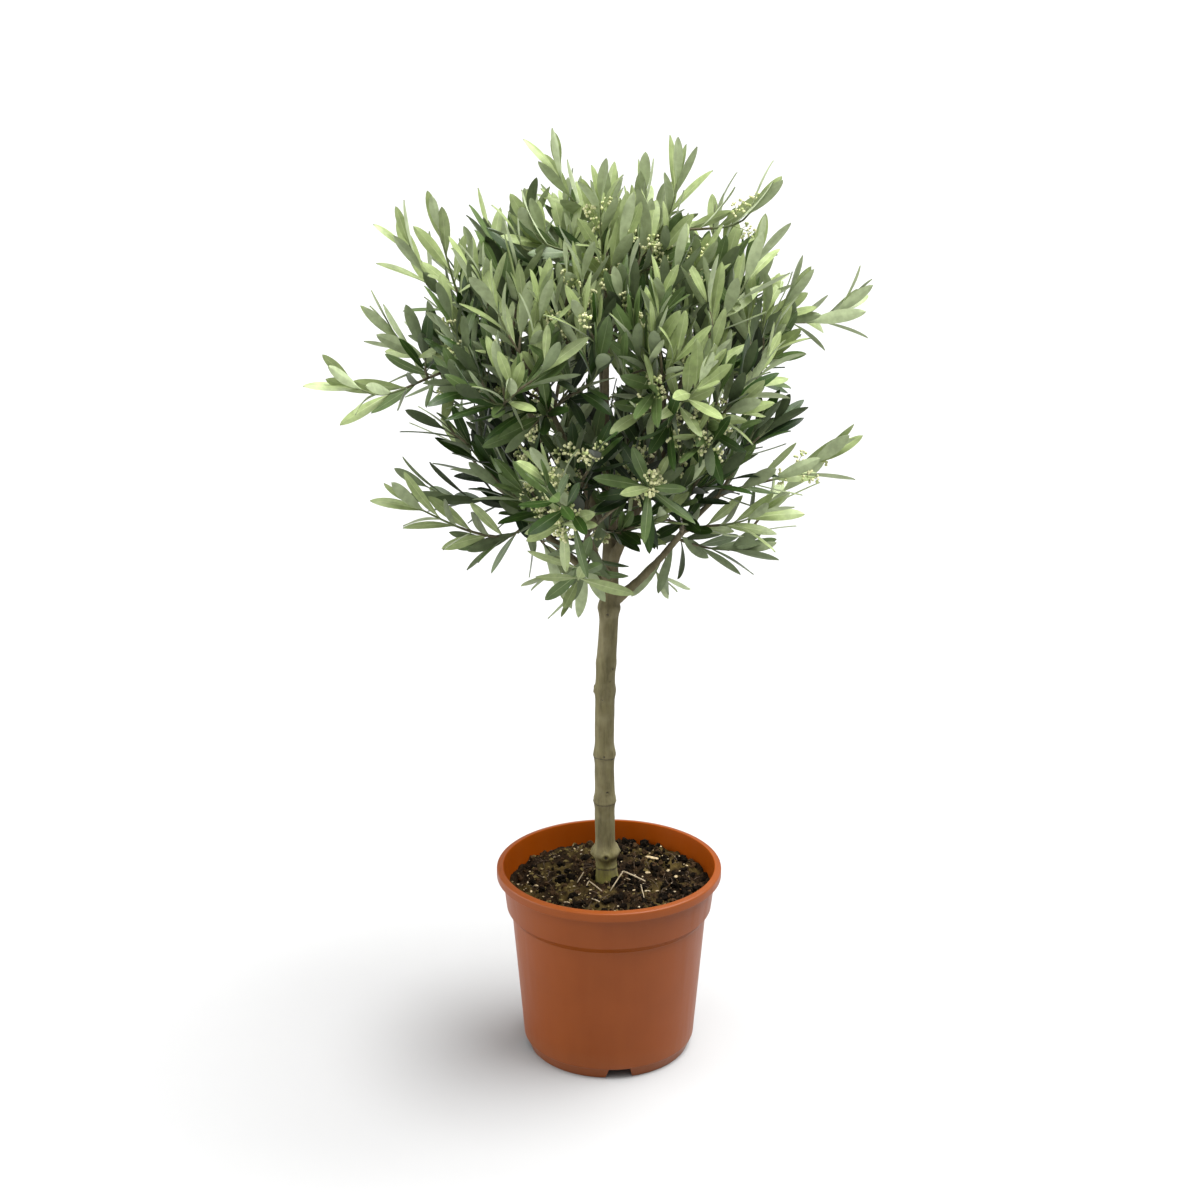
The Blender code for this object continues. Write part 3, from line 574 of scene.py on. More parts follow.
def mesh_object(name, verts, faces, materials, slots=0, smooth=True):
    """An object of one mesh, with a material slot for each face, or one for all."""
    mesh = bpy.data.meshes.new(name)
    mesh.from_pydata(np.asarray(verts, float).tolist(), [], faces)
    for finish in materials:
        mesh.materials.append(finish)
    mesh.polygons.foreach_set("material_index", np.broadcast_to(slots, len(faces)).astype(np.int32))
    mesh.polygons.foreach_set("use_smooth", np.full(len(faces), smooth))
    mesh.update()
    made = bpy.data.objects.new(name, mesh)
    bpy.context.scene.collection.objects.link(made)
    return made


def evaluated(obj):
    """Replaces the object's mesh by what its modifiers make of it."""
    graph = bpy.context.evaluated_depsgraph_get()
    mesh = bpy.data.meshes.new_from_object(obj.evaluated_get(graph))
    obj.modifiers.clear()
    obj.data = mesh
    return obj


def show(obj, slot, *nodes):
    """The piece rides on the root and stands for these nodes; the slot is not used."""
    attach(obj, "root")
    if nodes:
        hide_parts(*nodes)
    return obj


class Pile:
    """Many small shapes, gathered for one mesh."""

    def __init__(self):
        self.verts, self.faces, self.slots, self.count = [], [], [], 0

    def add(self, verts, faces, slots=0):
        self.verts.append(np.asarray(verts, float))
        self.faces += [tuple(self.count + corner for corner in face) for face in faces]
        self.slots.append(np.broadcast_to(slots, len(faces)))
        self.count += len(verts)

    def build(self, name, materials, smooth=True):
        verts, slots = np.concatenate(self.verts), np.concatenate(self.slots)
        return mesh_object(name, verts, self.faces, materials, slots, smooth)


def turned(profile, steps):
    """Verts and faces of a profile turned round the Z axis; a point on the axis is one vertex."""
    verts, rows = [], []
    for radius, height in profile:
        if radius < 1e-6:
            rows.append([len(verts)] * steps)
            verts.append((0.0, 0.0, height))
            continue
        rows.append(list(range(len(verts), len(verts) + steps)))
        for i in range(steps):
            angle = math.tau * i / steps
            verts.append((radius * math.cos(angle), radius * math.sin(angle), height))
    faces = []
    for first, second in zip(rows, rows[1:]):
        for i in range(steps):
            corners = (first[i], second[i], second[(i + 1) % steps], first[(i + 1) % steps])
            faces.append(tuple(dict.fromkeys(corners)))
    return verts, faces


def tube(points, radii, sides):
    """Verts and faces of a closed tapering tube along the points, by a frame that turns with them."""
    points = [Vector(point) for point in points]
    ahead = [(b - a).normalized() for a, b in zip(points, points[1:])]
    ahead.append(ahead[-1])
    side = ahead[0].orthogonal().normalized()
    verts = []
    for point, radius, direction in zip(points, radii, ahead):
        side = (side - direction * side.dot(direction)).normalized()
        other = direction.cross(side)
        for i in range(sides):
            angle = math.tau * i / sides
            verts.append(point + (side * math.cos(angle) + other * math.sin(angle)) * radius)
    faces = []
    for row in range(len(points) - 1):
        for i in range(sides):
            j = (i + 1) % sides
            faces.append((row * sides + i, row * sides + j, (row + 1) * sides + j, (row + 1) * sides + i))
    verts += [points[0], points[-1] + ahead[-1] * radii[-1]]
    first, last = len(verts) - 2, len(verts) - 1
    row = (len(points) - 1) * sides
    for i in range(sides):
        j = (i + 1) % sides
        faces.append((first, j, i))
        faces.append((last, row + i, row + j))
    return [tuple(vert) for vert in verts], faces


def rounded(corners, steps=4):
    """A profile from (radius, height, rounding) corners, each rounded by a short curve."""
    points = []
    for i, (radius, height, rounding) in enumerate(corners):
        corner = Vector((radius, height))
        if rounding == 0:
            points.append(tuple(corner))
            continue
        before, after = Vector(corners[i - 1][:2]), Vector(corners[i + 1][:2])
        start = corner + (before - corner).normalized() * min(rounding, (before - corner).length / 2)
        end = corner + (after - corner).normalized() * min(rounding, (after - corner).length / 2)
        for step in range(steps + 1):
            t = step / steps
            points.append(tuple((1 - t) ** 2 * start + 2 * t * (1 - t) * corner + t**2 * end))
    return points


def sharpen_creases(mesh):
    """Edges sharper than CREASE shade as edges."""
    form = bmesh.new()
    form.from_mesh(mesh)
    for edge in form.edges:
        edge.smooth = len(edge.link_faces) == 2 and edge.calc_face_angle() < CREASE
    form.to_mesh(mesh)
    form.free()


# The pot


def pot_profile():
    """(radius, height) from the floor's middle out, up the inside, over the rim, down and under."""
    rim_foot = POT_HEIGHT - RIM_DEPTH
    ledge_radius = (COLLAR_FOOT_RADIUS + BODY_TOP_RADIUS) / 2
    ledge_height = (COLLAR_FOOT_HEIGHT + BODY_TOP_HEIGHT) / 2
    return rounded(
        (
            (0.0, FLOOR_TOP, 0),
            (BODY_FOOT_RADIUS - WALL, FLOOR_TOP, FLOOR_ROUND),
            (BODY_TOP_RADIUS - WALL, BODY_TOP_HEIGHT + LEDGE_ROUND, 0.0020),
            (COLLAR_FOOT_RADIUS - WALL, COLLAR_FOOT_HEIGHT + LEDGE_ROUND, 0.0020),
            (COLLAR_TOP_RADIUS - WALL, rim_foot, 0.0030),
            (MOUTH_RADIUS, POT_HEIGHT, 0.0010),
            (RIM_RADIUS, POT_HEIGHT - RIM_FALL, 0.0016),
            (RIM_RADIUS, rim_foot, 0.0007),
            (COLLAR_TOP_RADIUS, rim_foot + LEDGE_ROUND, 0.0006),
            (COLLAR_FOOT_RADIUS, COLLAR_FOOT_HEIGHT, 0.0012),
            (ledge_radius + LEDGE_ROUND, ledge_height + LEDGE_ROUND, 0.0020),
            (BODY_TOP_RADIUS, BODY_TOP_HEIGHT, 0.0018),
            (BODY_FOOT_RADIUS, FOOT_HEIGHT, 0.0012),
            (FOOT_TOP_RADIUS, FOOT_HEIGHT - LEDGE_ROUND, 0.0004),
            (FOOT_RADIUS, 0.0, 0.0006),
            (FOOT_RADIUS - FOOT_RING_WIDTH, 0.0, 0.0006),
            (FOOT_TOP_RADIUS - FOOT_RING_WIDTH, FLOOR_TOP - WALL, 0.0012),
            (0.0, FLOOR_TOP - WALL, 0),
        )
    )


def cutter(name, verts, faces):
    made = mesh_object(name, verts, faces, ())
    form = bmesh.new()
    form.from_mesh(made.data)
    bmesh.ops.recalc_face_normals(form, faces=form.faces)
    form.to_mesh(made.data)
    form.free()
    return made


def notch_cutter(azimuth):
    """A trapezoid through the foot ring, wider at the floor."""
    top, foot = NOTCH_TOP_WIDTH / 2, NOTCH_FOOT_WIDTH / 2
    below = foot + (foot - top) / NOTCH_HEIGHT * BELOW_FLOOR
    outline = ((-below, -BELOW_FLOOR), (below, -BELOW_FLOOR), (top, NOTCH_HEIGHT), (-top, NOTCH_HEIGHT))
    out = Vector((math.cos(azimuth), math.sin(azimuth), 0))
    across = Vector((-math.sin(azimuth), math.cos(azimuth), 0))
    verts = [
        out * radius + across * place + Vector((0, 0, height))
        for radius in (FOOT_RADIUS - NOTCH_REACH, FOOT_RADIUS + NOTCH_REACH)
        for place, height in outline
    ]
    faces = [(0, 1, 2, 3), (7, 6, 5, 4)] + [(i, i + 4, (i + 1) % 4 + 4, (i + 1) % 4) for i in range(4)]
    return cutter("notch_cutter", verts, faces)


def drain_cutter(azimuth):
    middle = Vector((math.cos(azimuth), math.sin(azimuth), 0)) * DRAIN_RING_RADIUS
    ends = [middle + Vector((0, 0, FLOOR_TOP + side * DRAIN_DEPTH / 2)) for side in (-1, 1)]
    return cutter("drain_cutter", *tube(ends, (DRAIN_RADIUS, DRAIN_RADIUS), DRAIN_SIDES))


def pot_slots(mesh):
    """The finish of each face: 0 outside, 1 inside, a brighter copy whose extra brightness is painted light,
    and 2 under the collar, a darker copy that is painted shade.
    """
    slots = []
    for face in mesh.polygons:
        radius, height = math.hypot(*face.center[:2]), face.center[2]
        inward = face.normal.x * face.center[0] + face.normal.y * face.center[1] < 0
        # Faces under the collar take the darker copy: painted shade under the ledge.
        under = BODY_TOP_HEIGHT < height < COLLAR_FOOT_HEIGHT and radius > BODY_TOP_RADIUS
        slots.append(1 if inward and height > FLOOR_TOP else 2 if under and not inward else 0)
    return slots


def build_pot():
    finishes = (
        terracotta_plastic("terracotta_plastic", (0.188, 0.039, 0.001), (0.208, 0.044, 0.002), 0.27),
        # The inside's copy is brighter and redder than the outside: painted light on the inner wall.
        terracotta_plastic("terracotta_inside_painted_light", (0.255, 0.047, 0.001), (0.275, 0.052, 0.001), 0.06),
        # The copy for the faces under the collar is darker: painted shade under the collar's ledge.
        terracotta_plastic("terracotta_ledge_painted_shade", (0.172, 0.036, 0.001), (0.188, 0.040, 0.002), 0.06),
    )
    pot = mesh_object("pot_shell", *turned(pot_profile(), POT_STEPS), finishes)
    cutters = [notch_cutter(azimuth) for azimuth in NOTCH_AZIMUTHS]
    cutters += [drain_cutter(azimuth) for azimuth in DRAIN_AZIMUTHS]
    for tool in cutters:
        cut = pot.modifiers.new("Cut", "BOOLEAN")
        cut.operation = "DIFFERENCE"
        cut.object = tool
    evaluated(pot)
    for tool in cutters:
        bpy.data.objects.remove(tool)
    sharpen_creases(pot.data)
    pot.data.polygons.foreach_set("material_index", pot_slots(pot.data))
    show(pot, "pot_plastic", "pot")


# The soil


def soil_height(x, y):
    """Lumps upon lumps, heaped a little towards the trunk."""
    radius = math.hypot(x, y)
    height = SOIL_LEVEL + SOIL_HEAP * (1 - radius / SOIL_WALL_RADIUS) + SOIL_RISE * y / SOIL_WALL_RADIUS
    edge = max(0.0, (radius - SOIL_EDGE_START) / (SOIL_WALL_RADIUS - SOIL_EDGE_START))
    lean = SOIL_EDGE_LEAN * math.cos(math.atan2(y, x) - SOIL_EDGE_SIDE)
    height -= SOIL_EDGE_FALL * edge * (1 + lean) / (1 + SOIL_EDGE_LEAN)
    for layer, (size, lump) in enumerate(SOIL_OCTAVES):
        height += lump * noise.noise(Vector((x, y, 0.01 * layer)) / size)
    return height


def build_soil_body():
    """The lumpy surface, and below it a body that stands just clear of the pot's wall."""
    sides = [
        (SOIL_WALL_RADIUS - 0.0004, SOIL_LEVEL - 0.004),
        (COLLAR_FOOT_RADIUS - WALL - 0.0005, COLLAR_FOOT_HEIGHT + 0.003),
        (BODY_TOP_RADIUS - WALL - 0.0006, BODY_TOP_HEIGHT),
        (BODY_FOOT_RADIUS - WALL - 0.0009, FLOOR_TOP + 0.006),
        (BODY_FOOT_RADIUS - WALL - 0.0060, SOIL_FOOT),
        (0.0, SOIL_FOOT),
    ]
    top = [(SOIL_WALL_RADIUS * i / SOIL_RINGS, SOIL_LEVEL) for i in range(SOIL_RINGS + 1)]
    verts, faces = turned(top + sides, SOIL_STEPS)
    verts = [(x, y, soil_height(x, y) if z == SOIL_LEVEL else z) for x, y, z in verts]
    finish = peat("peat", (0.0015, 0.001, 0.0007), (0.030, 0.018, 0.009), (0.080, 0.056, 0.017))
    show(mesh_object("soil_body", verts, faces, (finish,)), "soil", "soil")


def icosphere(subdivisions):
    form = bmesh.new()
    bmesh.ops.create_icosphere(form, subdivisions=subdivisions, radius=1.0)
    form.verts.ensure_lookup_table()
    verts = np.array([vert.co[:] for vert in form.verts])
    faces = [tuple(vert.index for vert in face.verts) for face in form.faces]
    form.free()
    return verts, faces


def random_turn(rng):
    """A random rotation matrix."""
    square = np.linalg.qr(rng.normal(size=(3, 3)))[0]
    return square * np.sign(np.linalg.det(square))


def level_turn(angle):
    return np.array(Matrix.Rotation(angle, 3, "Z"))


def on_soil(rng):
    """A random place on the soil, outside the trunk."""
    reach = SOIL_WALL_RADIUS - LITTER_INSET
    trunk_x, trunk_y, _ = TRUNK_LINE[0]
    while True:
        x, y = rng.uniform(-reach, reach, 2)
        if math.hypot(x - trunk_x, y - trunk_y) > TRUNK_INSET and math.hypot(x, y) < reach:
            return np.array((x, y, soil_height(x, y)))


def build_crumbs():
    """Lumpy crumbs of three tones; one that falls on the wrong side for its tone is placed anew."""
    rng = np.random.default_rng(SEED)
    ball, faces = icosphere(2)
    pile = Pile()
    for slot, (count, least, most, side, *_) in enumerate(CRUMBS):
        for _ in range(count):
            size = least + (most - least) * rng.random() ** 2
            lumps = rng.normal(size=(len(ball), 1)).clip(-CRUMB_MOST_LUMP, CRUMB_MOST_LUMP)
            stretched = ball * (1 + CRUMB_LUMPS * lumps) * rng.uniform(*CRUMB_STRETCH, 3)
            shape = stretched @ random_turn(rng)
            place = on_soil(rng)
            if place[0] * side < 0:
                place = on_soil(rng)
            pile.add(shape * size + place + (0, 0, CRUMB_RISE * size), faces, slot)
    finishes = [peat(*crumb[4:]) for crumb in CRUMBS]
    show(pile.build("soil_crumbs", finishes, smooth=False), "soil")


def add_flecks(pile, rng, ball, faces):
    for _ in range(FLECKS):
        size = rng.uniform(*FLECK_RADIUS) * np.array((rng.uniform(*FLECK_STRETCH), 1.0, FLECK_FLATNESS))
        shape = (ball * size) @ level_turn(rng.uniform(0, math.tau))
        place = on_soil(rng) + (0, 0, FLECK_RISE)
        pile.add(shape + place, faces, int(rng.integers(0, 2)))


def add_fibres(pile, rng):
    """Fine arched fibres that end on the soil, well inside the pot."""
    for _ in range(FIBRES):
        start = on_soil(rng)
        heading = rng.uniform(0, math.tau)
        end = start + rng.uniform(*FIBRE_LENGTH) * np.array((math.cos(heading), math.sin(heading), 0))
        if np.hypot(*end[:2]) > SOIL_WALL_RADIUS - FIBRE_INSET:
            continue
        end[2] = soil_height(*end[:2])
        middle = (start + end) / 2 + rng.normal(scale=FIBRE_BEND, size=3) + (0, 0, FIBRE_ARCH)
        points = bezier(start, middle, end, FIBRE_POINTS)
        pile.add(*tube(points, np.full(FIBRE_POINTS, rng.uniform(*FIBRE_RADIUS)), FIBRE_SIDES), 2)


def build_litter():
    """Pale flecks, fine fibres, stalks and chips of wood on the soil."""
    rng = np.random.default_rng(SEED + 1)
    ball, faces = icosphere(2)
    pile = Pile()
    add_flecks(pile, rng, ball, faces)
    add_fibres(pile, rng)
    for start, end, width in STRAWS:
        ends = [np.array((x, y, soil_height(x, y) + above)) for x, y, above in (start, end)]
        middle = (ends[0] + ends[1]) / 2 + (0, 0, STRAW_ARCH)
        points = bezier(ends[0], middle, ends[1], STRAW_POINTS)
        pile.add(*tube(points, np.full(STRAW_POINTS, width / 2), STRAW_SIDES), 1)
    for (x, y), length, width, turn in CHIPS:
        lumps = ball * (1 + CHIP_LUMPS * rng.normal(size=(len(ball), 1)))
        shape = (lumps * (length / 2, width / 2, CHIP_THICKNESS / 2)) @ level_turn(-math.radians(turn))
        pile.add(shape + (x, y, soil_height(x, y) + CHIP_RISE), faces, 0)
    finishes = (
        straw("wood_pale", (0.46, 0.35, 0.19)),
        straw("stalk_pale", (0.40, 0.32, 0.20)),
        straw("fibre_brown", (0.09, 0.055, 0.028)),
    )
    show(pile.build("soil_litter", finishes), "soil")


# The trunk and the boughs


def smooth_line(knots, share):
    """A point on the smooth curve through evenly weighted knots, at this share of the way."""
    place = share * (len(knots) - 1)
    i = min(int(place), len(knots) - 2)
    t = place - i
    before, start, end, after = (knots[min(max(k, 0), len(knots) - 1)] for k in range(i - 1, i + 3))
    return tuple(
        0.5 * (2 * b + (c - a) * t + (2 * a - 5 * b + 4 * c - d) * t**2 + (3 * b - a - 3 * c + d) * t**3)
        for a, b, c, d in zip(before, start, end, after)
    )


def trunk_radius(height):
    foot, tip = TRUNK_LINE[0][2], TRUNK_LINE[-1][2]
    if height < FORK_HEIGHT:
        share = (height - foot) / (FORK_HEIGHT - foot)
        radius = TRUNK_FOOT_RADIUS + (TRUNK_FORK_RADIUS - TRUNK_FOOT_RADIUS) * share
    else:
        share = (height - FORK_HEIGHT) / (tip - FORK_HEIGHT)
        radius = TRUNK_FORK_RADIUS + (TRUNK_TIP_RADIUS - TRUNK_FORK_RADIUS) * share
    radius += FLARE * math.exp(-(height - foot) / FLARE_HEIGHT)
    for ring, extra in TRUNK_RINGS:
        radius += extra * math.exp(-(((height - ring) / RING_HALF_HEIGHT) ** 2))
    return radius


def trunk_points(count):
    return np.array([smooth_line(TRUNK_LINE, i / (count - 1)) for i in range(count)])


def trunk_axis(heights):
    """The points on the trunk's line at these heights."""
    line = trunk_points(TRUNK_STATIONS)
    return np.stack([np.interp(heights, line[:, 2], line[:, k]) for k in range(3)], axis=-1)


def bezier(start, control, end, count):
    t = np.linspace(0, 1, count)[:, None]
    return (1 - t) ** 2 * start + 2 * t * (1 - t) * control + t**2 * end


def cubic(start, first, second, end, count):
    t = np.linspace(0, 1, count)[:, None]
    return (1 - t) ** 3 * start + 3 * t * (1 - t) ** 2 * first + 3 * t**2 * (1 - t) * second + t**3 * end


def bough_plans():
    """(name, mass's site, bough's points, their radii) for each mass."""
    plans = []
    for ring, count, site_radius, site_height, first, foot_height, share in MASS_RINGS:
        for i in range(count):
            azimuth = first + i * math.tau / count
            out = np.array((math.cos(azimuth), math.sin(azimuth), 0))
            site = np.array((CROWN_CENTRE.x, CROWN_CENTRE.y, site_height)) + out * site_radius
            foot = trunk_axis(foot_height + i * BOUGH_STEP_UP)
            tip = foot + (site - foot) * share
            bend = (foot + tip) / 2 - (0, 0, BOUGH_SAG * np.linalg.norm(tip - foot))
            if count == 1:
                bend = (foot + tip) / 2 + TOP_BOUGH_BEND
            radii = np.linspace(BOUGH_FOOT_RADIUS, BOUGH_TIP_RADIUS, BOUGH_POINTS)
            name = f"{ring}_{i + 1}" if count > 1 else ring
            plans.append((name, site, bezier(foot, bend, tip, BOUGH_POINTS), radii))
    return plans


def collared(points, radii):
    """The bough's radii, wider where it leaves the trunk."""
    along = np.linalg.norm(points - points[0], axis=1)
    return radii + BOUGH_COLLAR * np.exp(-np.maximum(along - TRUNK_FORK_RADIUS, 0) / BOUGH_COLLAR_LENGTH)


def bell(away):
    return np.exp(-(away**2))


def scars_and_ridge_shade(places):
    """How much the knots and rings raise the trunk at each place, and how dark the bark is there, 0 to 1:
    dark knot scars, and a band of painted shade just below each ridge.
    """
    heights = places[:, 2]
    from_axis = places - trunk_axis(heights)
    azimuths = np.arctan2(from_axis[:, 1], from_axis[:, 0])
    raised, dark = np.zeros(len(places)), np.zeros(len(places))
    for height, degrees, radius in KNOTS:
        turn = (azimuths - math.radians(degrees) + math.pi) % math.tau - math.pi
        away = np.hypot(turn * trunk_radius(height), heights - height) / radius
        rim, pit = bell((away - KNOT_RIM_PLACE) / KNOT_WIDTH), bell(away / KNOT_WIDTH)
        raised += radius * (KNOT_RIM * rim - KNOT_PIT * pit)
        dark = np.maximum(dark, bell(away / KNOT_SHADE_WIDTH))
    for ring, height in enumerate(RIDGES):
        wobble = np.array([noise.noise(Vector((math.cos(a), math.sin(a), ring))) for a in azimuths])
        away = (heights - height - RIDGE_WOBBLE * wobble) / RIDGE_HALF_WIDTH
        raised += RIDGE_HEIGHT * bell(away)
        # The band below the ridge is painted shade.
        dark = np.maximum(dark, RIDGE_PAINTED_SHADE * bell(away + RIDGE_PAINTED_SHADE_BELOW))
    on_trunk = (np.linalg.norm(from_axis, axis=1) < TRUNK_REACH) & (heights < FORK_HEIGHT)
    return raised * on_trunk, dark * on_trunk


def bark_finishes():
    # Both finishes are darker inside the crown: painted shade of the foliage.
    whole = bark(
        "olive_bark",
        foot=(0.158, 0.146, 0.024),
        middle=(0.156, 0.137, 0.062),
        crown=(0.115, 0.092, 0.052),
        scar=(0.060, 0.050, 0.022),
    )
    # The dark finish of the knots' scars and of the painted shade below the ridges.
    scarred_or_shaded = bark(
        "bark_scar_and_painted_shade",
        foot=(0.060, 0.050, 0.030),
        middle=(0.060, 0.050, 0.034),
        crown=(0.050, 0.040, 0.030),
        scar=(0.020, 0.016, 0.010),
    )
    return whole, scarred_or_shaded


def build_limbs(plans):
    """The trunk and boughs as one skin, blended at the forks, with the bark's relief."""
    points = trunk_points(TRUNK_STATIONS)
    radii = [trunk_radius(point[2]) for point in points]
    foot = points[0] - (0, 0, TRUNK_SUNK)
    pile = Pile()
    pile.add(*tube([foot, *points], [radii[0], *radii], TRUNK_SIDES))
    for _, _, line, line_radii in plans:
        pile.add(*tube(line, collared(line, line_radii), BOUGH_SIDES))
    limbs = pile.build("trunk_and_boughs", ())
    remesh = limbs.modifiers.new("Skin", "REMESH")
    remesh.mode = "VOXEL"
    remesh.voxel_size = BARK_VOXEL
    smooth = limbs.modifiers.new("Blend", "SMOOTH")
    smooth.factor = 0.5
    smooth.iterations = 6
    evaluated(limbs)
    mesh = limbs.data
    places = np.array([vert.co[:] for vert in mesh.vertices])
    raised, dark = scars_and_ridge_shade(places)
    for size, height in BARK_RELIEF:
        scaled = places / (size, size, size * BARK_STRETCH)
        raised += [height * noise.noise(Vector(place)) for place in scaled]
    normals = np.array([vert.normal[:] for vert in mesh.vertices])
    mesh.vertices.foreach_set("co", (places + normals * raised[:, None]).ravel())
    for finish in bark_finishes():
        mesh.materials.append(finish)
    for face in mesh.polygons:
        face.use_smooth = True
        # Dark faces take the dark finish: knot scars, and painted shade below the ridges.
        face.material_index = int(np.mean(dark[list(face.vertices)]) > SCAR_AND_SHADE_SHARE)
    mesh.update()
    show(limbs, "bark", "trunk", *(f"bough_{name}" for name, _, _, _ in plans))


# The rule of growth


def unit(vector):
    return vector / np.linalg.norm(vector)


def rising(place, share):
    """The way a shoot's end points: from the heart, and more upwards high in the crown and near its axis."""
    from_heart = place - np.array(HEART)
    low, high = LIFT_HEIGHTS
    lift = share * TWIG_LIFT * float(np.clip((place[2] - low) / (high - low), LEAST_LIFT, 1.0))
    lift *= 1 - WIDE_LIFT * min(1.0, math.hypot(*from_heart[:2]) / CROWN_REACH) ** 2
    return unit(unit(from_heart) + (0, 0, lift))


def leading_end(tip, share):
    """Where a leading shoot ends, behind its furthest leaf's tip."""
    return tip - rising(tip, share) * LEAF_LENGTH * LEAF_OVERHANG


def crown_places():
    """Places spread through the crown, less far down than up, where ordinary shoots may end."""
    spread_out = np.random.default_rng(SEED).uniform(-1, 1, (SHOOT_PLACES, 3))
    height = spread_out[:, 2]
    reach = 1 - UNDER_REACH * np.maximum(0, -height) - UPPER_REACH * np.maximum(0, height)
    inside = spread_out[np.linalg.norm(spread_out, axis=1) < reach]
    return np.array(CROWN_CENTRE) + inside * SHOOT_REACH


def cell_walls(site, sites):
    """(normals, offsets) of the planes halfway to the other masses, for depth_inside."""
    others = np.array([other for other in sites if not np.allclose(other, site)])
    normals = (others - site) / np.linalg.norm(others - site, axis=1)[:, None]
    return normals, (normals * (others + site) / 2).sum(axis=1) - CELL_MARGIN


def depth_inside(points, walls):
    """How far inside the walls' space each point is, or less than none outside."""
    normals, offsets = walls
    return (offsets - points @ normals.T).min(axis=-1)


def limb_segments(plans):
    """(starts, ends, radii) of every stretch of the trunk and the boughs."""
    trunk = trunk_points(LIMB_STATIONS)
    lines = [(trunk, np.array([trunk_radius(height) for height in trunk[:, 2]]))]
    lines += [(points[::3], radii[::3]) for _, _, points, radii in plans]
    starts = np.concatenate([points[:-1] for points, _ in lines])
    ends = np.concatenate([points[1:] for points, _ in lines])
    return starts, ends, np.concatenate([np.maximum(radii[:-1], radii[1:]) for _, radii in lines])


def clear_of_limbs(points, margin, limbs):
    """Whether every point is further than the margin from the limbs' surfaces."""
    starts, ends, radii = limbs
    spans = ends - starts
    shares = ((points[:, None] - starts) * spans).sum(axis=-1) / (spans**2).sum(axis=-1)
    nearest = starts + np.clip(shares, 0, 1)[..., None] * spans
    return bool((np.linalg.norm(points[:, None] - nearest, axis=-1) > radii + margin).all())


def place_along(points, back):
    """The point and direction at this distance back from the line's end, or None beyond its start."""
    for low, high in zip(points[-2::-1], points[:0:-1]):
        step = np.linalg.norm(high - low)
        if back <= step:
            return high + (low - high) * back / step, unit(high - low)
        back -= step
    return None


def side_of(direction, turn):
    """A unit vector square to the direction, turned round it from the horizontal."""
    level = np.cross((0, 0, 1), direction)
    level = unit(level) if np.linalg.norm(level) > 1e-3 else np.array((1.0, 0, 0))
    return level * math.cos(turn) + np.cross(direction, level) * math.sin(turn)


def leaf_frame(direction, turn, opening):
    """(the leaf's line, its width's direction, its normal), with its upper face rolled to the sky."""
    out = side_of(direction, turn)
    line = direction * math.cos(opening) + out * math.sin(opening)
    wished = np.cross(line, np.cross(direction, out)) + np.array((0, 0, LEAF_SKYWARD))
    normal = unit(wished - line * wished.dot(line))
    return line, np.cross(normal, line), normal


